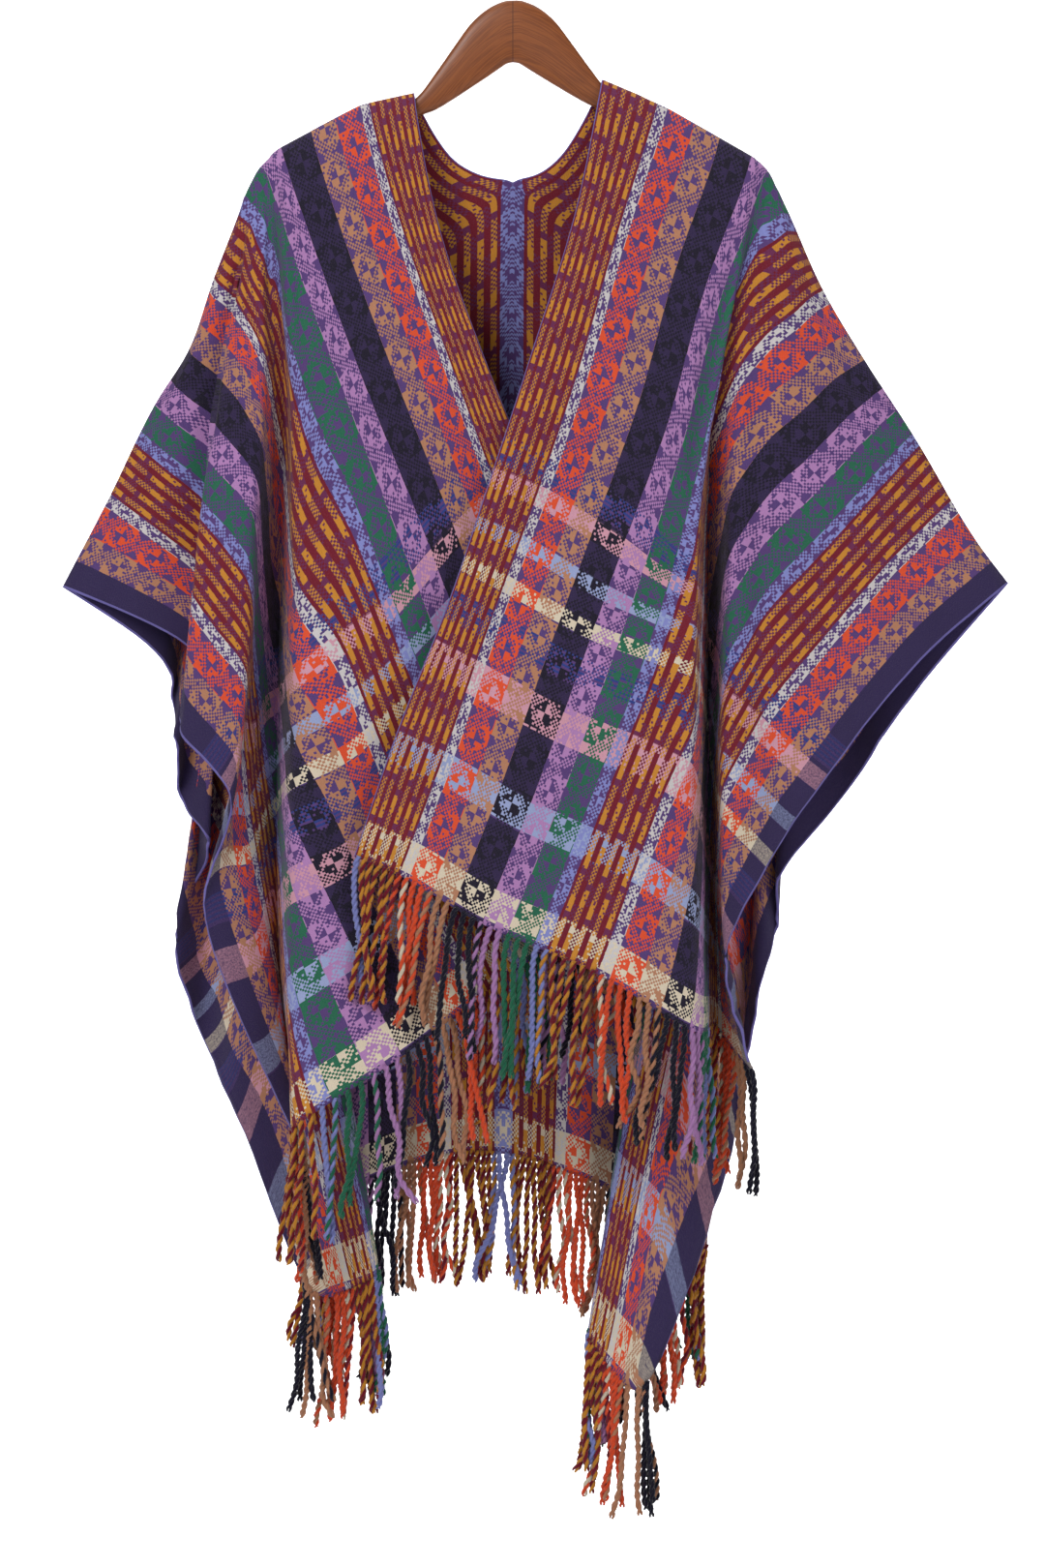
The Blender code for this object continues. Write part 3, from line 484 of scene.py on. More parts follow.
RIGHT_BACK = {
    "middle": [
        Row(428, 97, 0, 0, 0),
        Row(429, 102, -9, 0, -5),
        Row(438, 119, -14, 0, -21),
        Row(453, 145, -17, 0, -50),
        Row(471, 167, -20, 0, -78),
        Row(500, 182, -22, 0, -100),
        *LEFT_BACK["middle"][6:],
    ],
    **back_fold_lines(RIGHT_BACK_FOLDS),
    "inner_fold": [
        Row(276, 168, 0, 186, 0),
        Row(277, 179, -8, 192, -7),
        Row(279, 194, -11, 202, -18),
        Row(294, 420, -40, 262, -200),
        Row(318, 700, -56, 332, -430),
        Row(352, 1020, -70, 396, -720),
        Row(400, 1316, -68, 430, -935),
    ],
    "corner_line": [
        Row(272, 172, 0, 192, 0),
        Row(273, 183, -8, 199, -7),
        Row(274, 199, -10, 210, -16),
        Row(270, 420, -38, 312, -190),
        Row(262, 720, -56, 436, -420),
        Row(278, 1040, -62, 545, -700),
        Row(318, 1345, -56, 606, -935),
    ],
    "low_selvedge": [
        Row(268, 176, 0, 197, 0),
        Row(269, 187, -8, 204, -7),
        Row(270, 203, -9, 215, -15),
        Row(260, 420, -36, 325, -175),
        Row(240, 700, -52, 455, -390),
        Row(236, 960, -54, 560, -610),
        Row(250, 1160, -54, 606, -735),
    ],
    "rear_pleat": [
        Row(265, 181, 0, 201, 0),
        Row(266, 191, -8, 208, -6),
        Row(266, 207, -9, 219, -14),
        Row(252, 430, -62, 338, -160),
        Row(226, 710, -96, 475, -365),
        Row(208, 1072, -92, 606, -650),
    ],
    "knee_selvedge": [
        Row(262, 186, 0, 206, 0),
        Row(263, 196, -7, 212, -6),
        Row(262, 211, -8, 223, -12),
        Row(246, 430, -34, 348, -145),
        Row(218, 700, -46, 490, -325),
        Row(176, 980, -44, 606, -545),
    ],
    "knee_rear": [
        Row(260, 190, 0, 209, 0),
        Row(260, 200, -7, 216, -5),
        Row(259, 215, -8, 227, -11),
        Row(240, 430, -54, 352, -130),
        Row(220, 690, -84, 492, -295),
        Row(196, 925, -78, 606, -480),
    ],
    "turn_selvedge": [
        Row(258, 194, 0, 212, 0),
        Row(258, 204, -6, 219, -4),
        Row(256, 218, -7, 229, -9),
        Row(240, 420, -28, 352, -118),
        Row(230, 650, -40, 492, -262),
        Row(222, 868, -36, 606, -415),
    ],
    "turn_rear": [
        Row(256, 198, 0, 215, 0),
        Row(255, 208, -6, 222, -4),
        Row(253, 222, -7, 231, -8),
        Row(228, 410, -48, 350, -100),
        Row(204, 620, -76, 490, -225),
        Row(186, 832, -70, 606, -360),
    ],
    "side_selvedge": [
        Row(255, 201, 0, 217, 0),
        Row(254, 211, -5, 224, -3),
        Row(251, 225, -6, 233, -6),
        Row(226, 400, -22, 348, -80),
        Row(202, 600, -34, 490, -195),
        Row(183, 775, -34, 606, -300),
    ],
    "side_rear": [
        Row(254, 203, 0, 218, 0),
        Row(252, 214, -5, 225, -2),
        Row(249, 227, -6, 234, -5),
        Row(220, 390, -40, 350, -60),
        Row(196, 560, -54, 480, -140),
        Row(180, 728, -52, 606, -225),
    ],
    "wing_middle": [
        Row(253, 205, 0, 219, 0),
        Row(251, 216, -4, 226, -2),
        Row(247, 229, -5, 235, -4),
        Row(214, 370, -14, 345, -35),
        Row(190, 500, -20, 450, -75),
        Row(172, 676, -18, 606, -150),
    ],
    "top_fold": RIGHT_FRONT["top_fold"],
}

# How many wall steps lie between one fold line and the next.
STEPS = {
    "LEFT_FRONT": (2, 2, 2, 2, 2, 2, 2, 2, 1, 1, 1),
    "RIGHT_FRONT": (2, 2, 2, 1, 1, 2, 2, 1, 1, 1, 1, 2, 2, 1, 1),
    "LEFT_BACK": (1, 1, 1, 1, 1, 2, 2, 2, 1, 1, 1, 1, 1, 1, 1, 1),
    "RIGHT_BACK": (1, 1, 1, 1, 1, 2, 2, 2, 1, 1, 1, 1, 1, 1, 1, 1, 1, 1),
}


# ---------------------------------------------------------------- curves and walls
def hermite(points, knots, t, slack):
    """A smooth curve through the points; slack 0 is straight runs and 1 is fully rounded."""
    i = int(np.clip(np.searchsorted(knots, t, "right") - 1, 0, len(points) - 2))
    h = knots[i + 1] - knots[i]
    w = (t - knots[i]) / h
    run = (points[i + 1] - points[i]) / h

    def slope(k):
        if k in (0, len(points) - 1):
            return run
        a = (points[k] - points[k - 1]) / (knots[k] - knots[k - 1])
        b = (points[k + 1] - points[k]) / (knots[k + 1] - knots[k])
        return slack * 0.5 * (a + b) + (1 - slack) * run

    m0, m1 = slope(i) * h, slope(i + 1) * h
    return (
        (2 * w**3 - 3 * w**2 + 1) * points[i]
        + (w**3 - 2 * w**2 + w) * m0
        + (3 * w**2 - 2 * w**3) * points[i + 1]
        + (w**3 - w**2) * m1
    )


def fold_line(rows, share):
    """The point at a share of the fold line's length. The cloth turns over the arm in a quarter round."""
    p = np.array(rows, float)
    steps = np.hypot(np.hypot(np.diff(p[:, 0]), np.diff(p[:, 1])), np.diff(p[:, 2]) * 0.6)
    knots = np.concatenate(([0.0], np.cumsum(steps)))
    at = share * knots[-1]
    if at < knots[1] and p[0, 2] == 0 and p[1, 2] != 0:
        w = at / knots[1]
        q = p[0] + (p[1] - p[0]) * w
        q[1] = p[0, 1] + (p[1, 1] - p[0, 1]) * (1 - math.cos(w * math.pi / 2))
        q[2] = p[1, 2] * math.sin(w * math.pi / 2)
        return q
    return hermite(p, knots, at, 1.0)


def share_of(step):
    return step**1.6


NAPE_ROW = 6  # the nape's row in each back half's middle line
NAPE_STEPS = 6 / 18  # the share of the steps that lie above it


def middle_line(rows, step):
    """The back's middle line, with the nape, where the slit ends, at NAPE_STEPS of the way."""
    if step <= NAPE_STEPS:
        return fold_line(rows[: NAPE_ROW + 1], (step / NAPE_STEPS) ** 1.7)
    return fold_line(rows[NAPE_ROW:], ((step - NAPE_STEPS) / (1 - NAPE_STEPS)) ** 1.3)


def wall_grid(folds, steps, places, slack):
    """Rows of grid points from the top fold to the hem or selvedge, with the fold lines joined across. Each has u, v, out, across, along."""
    names = list(folds)
    knots = np.arange(len(names), dtype=float)
    grid = []
    for at in places:
        line = np.array(
            [middle_line(folds[n], at) if n == "middle" else fold_line(folds[n], share_of(at)) for n in names]
        )
        out = []
        for gap, count in enumerate(steps):
            for k in range(count):
                out.append(hermite(line, knots, gap + k / count, slack))
        out.append(line[-1])
        grid.append(out)
    return np.array(grid)


# The wood's outline to the right of its middle: how high its top and bottom edges are at each distance out.
WoodRow = namedtuple("WoodRow", "u_out top bottom")
WOOD_ROWS = [
    WoodRow(0, -3, 61),
    WoodRow(6, -3, 62),
    WoodRow(14, -1, 67),
    WoodRow(28, 6, 76),
    WoodRow(44, 20, 86),
    WoodRow(62, 44, 97),
    WoodRow(80, 69, 107),
    WoodRow(98, 92, 113),
    WoodRow(130, 109, 131),
    WoodRow(170, 129, 151),
    WoodRow(210, 149, 170),
    WoodRow(238, 166, 185),
    WoodRow(250, 176, 190),
]
LEAN = 4.0  # the hanger hangs with its right arm's shoulder this much lower, and its left one's higher, than level
SINK = 3.6  # the arms run this much below the grid's top fold, leaving the wall its thickness


# ---------------------------------------------------------------- the fine cloth
FINE = 7  # fine columns in each step of the part's walls
FINE_ROWS = 132
CLOTH_SLACK = 0.25  # nearly straight runs between the folds, which soften() then rounds

fine_steps = [(k / FINE_ROWS) ** 0.75 for k in range(FINE_ROWS + 1)]
fine_steps[min(range(FINE_ROWS + 1), key=lambda k: abs(fine_steps[k] - NAPE_STEPS))] = NAPE_STEPS


def soften(grid, times, axis):
    """Rounds the folds by averaging neighbours; the outer rows and columns stay."""
    g = np.moveaxis(grid, axis, 0)
    for _ in range(times):
        g = g.copy()
        g[1:-1] = 0.25 * g[:-2] + 0.5 * g[1:-1] + 0.25 * g[2:]
    return np.moveaxis(g, 0, axis)


def fine_grid(folds, steps):
    grid = wall_grid(folds, [s * FINE for s in steps], fine_steps, CLOTH_SLACK)
    round_over = soften(grid, 9, 1)
    share = np.clip((np.arange(len(grid)) - 10) / 12, 0, 1)[:, None, None]  # close over the arm the form stays as it is
    grid = grid * (1 - share) + round_over * share
    grid[12:] = soften(grid[11:], 3, 0)[1:]
    return grid


# Small creases: each runs over the flat cloth from one place to another. across and along are as in the folds, width is
# from its middle to where it fades and depth is how far it stands out (or in, if negative), all in millimetres.
Crease = namedtuple("Crease", "across_0 along_0 across_1 along_1 width depth")
LEFT_FRONT_CREASES = [
    Crease(20, 200, 60, 700, 26, 2.2),
    Crease(70, 330, 115, 716, 24, -2.4),
    Crease(130, 420, 170, 716, 22, 2.6),
    Crease(205, 500, 225, 716, 20, -3.0),
    Crease(150, 60, 215, 300, 18, 1.6),
    Crease(300, 520, 345, 716, 18, -3.0),
    Crease(215, 20, 420, 190, 16, 2.2),
    Crease(225, 40, 500, 330, 15, -2.4),
    Crease(330, 120, 590, 230, 20, 2.0),
    Crease(420, 260, 604, 420, 18, -2.4),
    Crease(250, 40, 560, 110, 18, -1.8),
    Crease(540, 560, 604, 620, 16, 2.6),
]
RIGHT_FRONT_CREASES = [
    Crease(10, 180, 40, 560, 26, 2.0),
    Crease(60, 260, 95, 560, 22, -2.2),
    Crease(120, 500, 150, 716, 24, 2.6),
    Crease(175, 320, 215, 716, 24, -3.2),
    Crease(240, 480, 262, 716, 20, 3.0),
    Crease(300, 540, 330, 716, 18, -3.0),
    Crease(395, 560, 430, 716, 18, 2.6),
    Crease(190, 30, 300, 330, 14, 2.0),
    Crease(235, 30, 420, 150, 16, -2.2),
    Crease(250, 34, 560, 112, 16, 2.0),
    Crease(340, 60, 590, 150, 16, -2.0),
    Crease(430, 330, 604, 450, 18, 2.6),
]
LEFT_BACK_CREASES = [
    Crease(20, -320, 30, -930, 20, 2.6),
    Crease(64, -420, 70, -930, 18, -2.4),
    Crease(150, -380, 158, -930, 20, 2.8),
    Crease(190, -100, 235, -900, 18, -2.4),
    Crease(300, -300, 330, -930, 20, 3.0),
    Crease(230, -30, 520, -330, 16, 2.2),
    Crease(240, -14, 560, -120, 18, -2.0),
    Crease(420, -500, 470, -930, 22, -3.0),
]
RIGHT_BACK_CREASES = [
    Crease(24, -360, 20, -930, 20, -2.4),
    Crease(66, -300, 60, -930, 18, 2.4),
    Crease(108, -380, 104, -930, 20, -2.6),
    Crease(186, -100, 226, -900, 18, 2.4),
    Crease(290, -280, 320, -930, 20, -3.0),
    Crease(240, -34, 540, -300, 16, -2.2),
    Crease(252, -16, 570, -110, 18, 2.0),
    Crease(430, -480, 480, -930, 22, 3.0),
]


def crease_lift(across, along, creases, seed):
    """How far each place of the cloth stands out of its fold's form."""
    lift = np.zeros_like(across)
    for c in creases:
        a = np.array((c.across_0, c.along_0), float)
        d = np.array((c.across_1, c.along_1), float) - a
        length = np.hypot(*d)
        s = ((across - a[0]) * d[0] + (along - a[1]) * d[1]) / length**2
        bend = np.sin(s * 5.0 + c.across_0) * c.width * 0.22
        off = ((across - a[0]) * d[1] - (along - a[1]) * d[0]) / length + bend
        fade = np.clip(s / 0.22, 0, 1) * np.clip((1.06 - s) / 0.25, 0, 1)
        fade = fade * fade * (3 - 2 * fade)
        lift += c.depth * np.exp(-((off / c.width) ** 2) * 2.2) * fade
    # the outer selvedge and the hem flutter a little
    edge = np.clip((across - 545) / 61, 0, 1) ** 1.5
    lift += edge * (1.5 * np.sin(along / 17.0 + seed) + 0.9 * np.sin(along / 7.3 + 2 * seed))
    # a soft, slow unevenness all over
    lift += 0.7 * np.sin(across / 31.0 + along / 53.0 + seed) * np.sin(along / 37.0 - across / 71.0 + 2.1 * seed)
    near_top = np.clip(np.abs(along) / 60, 0, 1)
    return lift * near_top


def grid_normals(p):
    """Normals of a grid of points, pointing to the grid's own side."""
    down = np.gradient(p, axis=0)
    over = np.gradient(p, axis=1)
    n = np.cross(down, over)
    return n / np.maximum(np.linalg.norm(n, axis=2), 1e-12)[..., None]


def relax_nape(grid):
    """The columns run straight down from the nape: near it the cloth lies as wide as the form does, neither stretched nor squeezed."""
    edge = grid[:, 0, :2]
    run = np.empty(grid.shape[:2])
    for r in range(len(grid)):
        for c in range(grid.shape[1]):
            run[r, c] = np.linalg.norm(edge - grid[r, c, :2], axis=1).min() * 0.85
    # the turn between the neck's edge and the middle is eased, so that the columns bend and don't break
    for _ in range(18):
        run[1:-1] = (run[:-2] + 2 * run[1:-1] + run[2:]) / 4
        run[:, 1:-1] = (run[:, :-2] + 2 * run[:, 1:-1] + run[:, 2:]) / 4
    run[:, 0] = 0
    a, down = grid[..., 3], np.abs(grid[..., 4])
    part = np.clip((250 - a) / 110, 0, 1) * np.clip((560 - down) / 200, 0, 1)
    relaxed = grid.copy()
    relaxed[..., 3] = a + (np.maximum(a, run) - a) * part
    # below the nape the bands cross the middle without a dip
    for r in range(len(grid)):
        level = np.interp(75.0, relaxed[r, :, 3], grid[r, :, 4])
        near = (1 - np.clip(relaxed[r, :, 3] / 75, 0, 1) ** 2) * np.clip((down[r] - 200) / 200, 0, 1)
        relaxed[r, :, 4] += (level - grid[r, :, 4]) * near
    return relaxed


def relax_selvedge(grid):
    """The border keeps its width: close to the selvedge the cloth isn't stretched."""
    edge = grid[-1][grid[-1, :, 3] > 605.0][:, :3]
    relaxed = grid.copy()
    for r in range(len(grid) // 3, len(grid)):
        apart = np.linalg.norm(grid[r, :, None, :3] - edge[None], axis=2).min(axis=1) * 0.85
        a = grid[r, :, 3]
        part = np.clip((100 - apart) / 50, 0, 1) * np.clip((a - 480) / 60, 0, 1)
        relaxed[r, :, 3] = a + (np.minimum(a, 606 - apart) - a) * part
    return relaxed


def cloth_points(grid, side, creases, seed):
    p = np.empty(grid.shape[:2] + (3,))
    for r in range(grid.shape[0]):
        for c in range(grid.shape[1]):
            p[r, c] = place(*grid[r, c, :3])
    p[0, :, 1] = side * GAP / 2
    p[:, -1, 1] = side * GAP / 2
    n = grid_normals(p)
    # all the lift goes outwards: towards the viewer in front, away from them behind
    n[(n[..., 1] * side) < 0] *= -1
    lift = crease_lift(grid[..., 3], grid[..., 4], creases, seed)
    return p + n * lift[..., None] / 1000


def float_attribute(mesh, name, values, domain="POINT"):
    mesh.attributes.new(name, "FLOAT", domain).data.foreach_set("value", np.asarray(values, np.float32).ravel())


def cloth_piece(name, node, halves, side, drop, mat):
    """One thin wall of cloth. halves is a list of (grid, points)."""
    points, across, hem, slit, faces, seen = [], [], [], [], [], {}
    for grid, p in halves:
        rows, cols = grid.shape[:2]
        ids = np.zeros((rows, cols), int)
        for r in range(rows):
            for c in range(cols):
                key = None
                if c == 0 and len(halves) > 1 and grid[r, 0, 1] >= 185.9:
                    key = r
                if key is not None and key in seen:
                    ids[r, c] = seen[key]
                    continue
                ids[r, c] = len(points)
                if key is not None:
                    seen[key] = len(points)
                points.append(p[r, c])
                across.append(grid[r, c, 3])
                hem.append(drop - abs(grid[r, c, 4]))
                slit.append(1.0 if side < 0 else float(np.clip((118 + 6 + grid[r, c, 4]) / 12, 0, 1)))
        flip = (grid[0, 0, 0] < grid[0, -1, 0]) == (side < 0)
        for r in range(rows - 1):
            for c in range(cols - 1):
                f = (ids[r, c], ids[r + 1, c], ids[r + 1, c + 1], ids[r, c + 1])
                faces.append(tuple(int(i) for i in (f if flip else f[::-1])))
    mesh = bpy.data.meshes.new(name)
    mesh.from_pydata([tuple(q) for q in points], [], faces)
    mesh.shade_smooth()
    float_attribute(mesh, "across", across)
    float_attribute(mesh, "slit", slit)
    float_attribute(mesh, "hem", hem)
    obj = bpy.data.objects.new(name, mesh)
    bpy.context.scene.collection.objects.link(obj)
    wall = obj.modifiers.new("wall", "SOLIDIFY")
    wall.thickness = CLOTH
    wall.offset = 0.0
    mesh.materials.append(mat)
    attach(obj, "root")
    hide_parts(node)
    return obj


# ---------------------------------------------------------------- materials
class Nodes:
    """Short names for the shader nodes used below. A value is a number or another node's output."""

    def __init__(self, name):
        self.mat = bpy.data.materials.new(name)
        self.mat.use_nodes = True
        self.tree = self.mat.node_tree
        self.shader = self.tree.nodes["Principled BSDF"]

    def put(self, socket, value):
        if hasattr(value, "is_output"):
            self.tree.links.new(value, socket)
        else:
            socket.default_value = value

    def math(self, operation, *values, clamp=False):
        n = self.tree.nodes.new("ShaderNodeMath")
        n.operation = operation
        n.use_clamp = clamp
        for socket, value in zip(n.inputs, values):
            self.put(socket, value)
        return n.outputs[0]

    def add(self, a, b):
        return self.math("ADD", a, b)

    def sub(self, a, b):
        return self.math("SUBTRACT", a, b)

    def mul(self, a, b):
        return self.math("MULTIPLY", a, b)

    def over(self, a, b):
        return self.math("GREATER_THAN", a, b)

    def under(self, a, b):
        return self.math("LESS_THAN", a, b)

    def between(self, a, low, high):
        return self.mul(self.over(a, low), self.under(a, high))

    def either(self, a, b):
        return self.math("MAXIMUM", a, b)

    def flip(self, a):
        return self.sub(1.0, a)

    def attribute(self, name):
        n = self.tree.nodes.new("ShaderNodeAttribute")
        n.attribute_type = "GEOMETRY"
        n.attribute_name = name
        return n.outputs["Fac"]

    def vector(self, x, y, z=0.0):
        n = self.tree.nodes.new("ShaderNodeCombineXYZ")
        for socket, value in zip(n.inputs, (x, y, z)):
            self.put(socket, value)
        return n.outputs[0]

    def noise(self, at, scale, detail=2.0, rough=0.5):
        n = self.tree.nodes.new("ShaderNodeTexNoise")
        self.put(n.inputs["Vector"], at)
        n.inputs["Scale"].default_value = scale
        n.inputs["Detail"].default_value = detail
        n.inputs["Roughness"].default_value = rough
        return n.outputs["Fac"]

    def place(self):
        n = self.tree.nodes.new("ShaderNodeTexCoord")
        return n.outputs["Object"]

    def mix(self, share, a, b, blend="MIX"):
        n = self.tree.nodes.new("ShaderNodeMix")
        n.data_type = "RGBA"
        n.blend_type = blend
        self.put(n.inputs[0], share)
        self.put(n.inputs[6], a)
        self.put(n.inputs[7], b)
        return n.outputs[2]

    def bands(self, at, rows, whole):
        """Colour bands: rows of (start, colour) over 0 to whole."""
        n = self.tree.nodes.new("ShaderNodeValToRGB")
        ramp = n.color_ramp
        ramp.interpolation = "CONSTANT"
        while len(ramp.elements) > 1:
            ramp.elements.remove(ramp.elements[-1])
        ramp.elements[0].position = 0.0
        ramp.elements[0].color = rows[0][1]
        for start, colour in rows[1:]:
            ramp.elements.new(start / whole).color = colour
        self.put(n.inputs[0], self.math("DIVIDE", at, whole))
        return n.outputs[0]

    def bump(self, height, distance, strength=1.0):
        n = self.tree.nodes.new("ShaderNodeBump")
        n.inputs["Strength"].default_value = strength
        n.inputs["Distance"].default_value = distance
        self.put(n.inputs["Height"], height)
        return n.outputs[0]


def rgb(r, g, b):
    """A colour named by its 0 to 255 screen values."""
    def lin(c):
        c /= 255
        return c / 12.92 if c <= 0.04045 else ((c + 0.055) / 1.055) ** 2.4
    return (lin(r), lin(g), lin(b), 1.0)


YARNS = {
    "periwinkle": rgb(136, 142, 206),
    "maroon": rgb(118, 20, 40),
    "gold": rgb(206, 138, 46),
    "white": rgb(212, 206, 206),
    "orange": rgb(230, 82, 44),
    "tan": rgb(186, 130, 98),
    "navy": rgb(20, 17, 38),
    "lilac": rgb(182, 132, 188),
    "green": rgb(34, 106, 78),
    "purple": rgb(88, 62, 122),
    "indigo": rgb(48, 38, 80),
    "blue": rgb(42, 62, 136),
    "light_blue": rgb(156, 168, 210),
    "cream": rgb(224, 210, 186),
    "pink": rgb(214, 156, 174),
}

# The warp's repeat, from 10 mm inside the slit edge: where each stripe starts, how wide it is and its yarn. The maroon and gold
# stripe is woven in narrow columns and the rest carry the wheel motif.
Stripe = namedtuple("Stripe", "start width yarn")
REPEAT = 225.0
FIRST = 10.0
STRIPES = [
    Stripe(0, 55, "maroon"),
    Stripe(55, 12, "white"),
    Stripe(67, 28, "orange"),
    Stripe(95, 27, "tan"),
    Stripe(122, 33, "navy"),
    Stripe(155, 27, "lilac"),
    Stripe(182, 29, "green"),
    Stripe(211, 14, "periwinkle"),
]
BORDER = 580.0  # the plain border outside the last tan stripe
# The weft's bands, by the distance of their middle from the hem. solid is how much of the purple ground the band's yarn replaces.
Band = namedtuple("Band", "middle width yarn solid")
BANDS = [
    Band(19, 30, "cream", 1.0),
    Band(105, 30, "light_blue", 1.0),
    Band(191, 30, "pink", 1.0),
    Band(239, 25, "blue", 0.55),
    Band(276, 15, "cream", 1.0),
    Band(312, 14, "light_blue", 1.0),
    Band(355, 17, "pink", 1.0),
    Band(380, 25, "blue", 0.55),
]
PICK = 2.0  # a float's length and width in the motif, mm
WHEEL = 42.0  # the motif's repeat along the cloth, mm
COLUMN = 11.0  # the gold columns' spacing, mm


def woven_cloth():
    n = Nodes("woven_wool")
    across, hem = n.attribute("across"), n.attribute("hem")
    flat = n.vector(across, hem)
    waver = n.mul(n.sub(n.noise(flat, 0.35, 2.0), 0.5), 0.9)
    a, h = n.add(across, waver), n.add(hem, waver)
    col, row = n.math("FLOOR", n.math("DIVIDE", a, PICK)), n.math("FLOOR", n.math("DIVIDE", h, PICK))
    aq, hq = n.mul(n.add(col, 0.5), PICK), n.mul(n.add(row, 0.5), PICK)

    # the repeat of the warp; where the cloth is slit its edge strip is woven in columns too
    slit = n.mul(n.attribute("slit"), n.under(a, FIRST))
    repeat = n.math("FLOORED_MODULO", n.add(n.sub(a, FIRST), n.mul(slit, FIRST)), REPEAT)
    repeat_q = n.math("FLOORED_MODULO", n.sub(aq, FIRST), REPEAT)
    middle, half = 0.0, 0.0
    before = (0.0, 1.0)
    for s in STRIPES:
        now = (s.start + s.width / 2, s.width / 2)
        on = n.math("GREATER_THAN", repeat, s.start - 0.001)
        middle = n.add(middle, n.mul(on, now[0] - before[0])) if s.start else now[0]
        half = n.add(half, n.mul(on, now[1] - before[1])) if s.start else now[1]
        before = now
    u = n.math("DIVIDE", n.sub(repeat_q, middle), half)
    # each stripe's wheels start a little further down than its neighbour's
    phase = n.mul(middle, 0.0137)
    t = n.sub(n.mul(n.math("FRACT", n.add(n.math("DIVIDE", hq, WHEEL), phase)), 2.0), 1.0)
    au, at = n.math("ABSOLUTE", u), n.math("ABSOLUTE", t)
    from_hub = n.math("SQRT", n.add(n.mul(u, u), n.mul(n.mul(t, t), 1.7)))
    # dots: every other float, staggered row by row; spot is a stray dot in the solid colours
    dots = n.math("FLOORED_MODULO", n.add(col, row), 2.0)
    sparse = n.mul(n.under(n.math("FLOORED_MODULO", n.add(col, row), 3.0), 0.5), n.under(n.math("FLOORED_MODULO", row, 2.0), 0.5))
    spot = n.mul(n.under(n.math("FLOORED_MODULO", n.add(col, n.mul(row, 3.0)), 5.0), 0.5), n.under(n.math("FLOORED_MODULO", row, 2.0), 0.5))
    # a pinwheel of four blades, two in the stripe's colour and two in the weft's, inside a ring of dots
    blade = n.under(n.mul(u, t), 0.0)
    thinned = n.mul(n.flip(blade), n.mul(n.over(from_hub, 0.44), dots))
    in_ring, beyond = n.between(from_hub, 0.62, 0.8), n.over(from_hub, 0.8)
    # past the ring: solid colour beyond the weft's blades, dots beyond the others, and the weft's colour at the edges between two wheels
    between = n.over(at, 0.72)
    corner = n.mul(n.flip(blade), n.flip(between))
    edge_gap = n.mul(between, n.over(n.sub(au, n.mul(n.sub(1.0, at), 1.6)), 0.42))
    past = n.either(corner, n.mul(dots, n.flip(edge_gap)))
    motif = n.add(n.mul(in_ring, dots), n.mul(n.under(from_hub, 0.62), n.either(blade, thinned)))
    motif = n.add(motif, n.mul(beyond, past))
    motif = n.mul(motif, n.flip(n.mul(spot, n.over(from_hub, 0.3))))

    # the maroon and gold columns
    c_at = n.math("DIVIDE", repeat, COLUMN)
    c_no, c_in = n.math("FLOOR", c_at), n.math("FRACT", c_at)
    gold = n.between(c_in, 0.26, 0.74)
    odd = n.math("FLOORED_MODULO", c_no, 2.0)
    # a gold column is whole, then dotted, then bare, and the next one is dotted first
    dash = n.math("FRACT", n.add(n.math("DIVIDE", hq, WHEEL), n.mul(odd, 0.27)))
    whole = n.add(n.mul(n.flip(odd), n.under(dash, 0.38)), n.mul(odd, n.between(dash, 0.48, 0.86)))
    gold_float = n.mul(n.under(dash, 0.86), n.either(n.mul(whole, n.flip(spot)), n.mul(n.flip(whole), dots)))
    edge_odd = n.math("FLOORED_MODULO", n.math("FLOOR", n.add(c_at, 0.5)), 2.0)
    m_dash = n.math("FRACT", n.add(n.math("DIVIDE", hq, WHEEL), n.add(0.3, n.mul(edge_odd, 0.5))))
    maroon_float = n.either(n.under(m_dash, 0.56), n.mul(n.over(m_dash, 0.56), dots))
    column = n.add(n.mul(gold, gold_float), n.mul(n.flip(gold), maroon_float))

    in_columns = n.under(repeat, STRIPES[0].width)
    in_border = n.over(a, BORDER)
    warp_shows = n.add(n.mul(in_columns, column), n.mul(n.flip(in_columns), motif))
    heather = n.add(0.64, n.mul(n.sub(n.noise(flat, 0.55, 2.0, 0.7), 0.5), 1.3))
    warp_shows = n.add(n.mul(in_border, heather), n.mul(n.flip(in_border), warp_shows))

    warp = n.bands(repeat, [(s.start, YARNS[s.yarn]) for s in STRIPES], REPEAT)
    warp = n.mix(n.mul(in_columns, gold), warp, YARNS["gold"])
    warp = n.mix(in_border, warp, YARNS["indigo"])
    edge = n.either(n.mul(n.under(across, 1.0), n.attribute("slit")), n.over(across, 603.9))
    warp = n.mix(edge, warp, rgb(116, 108, 178))

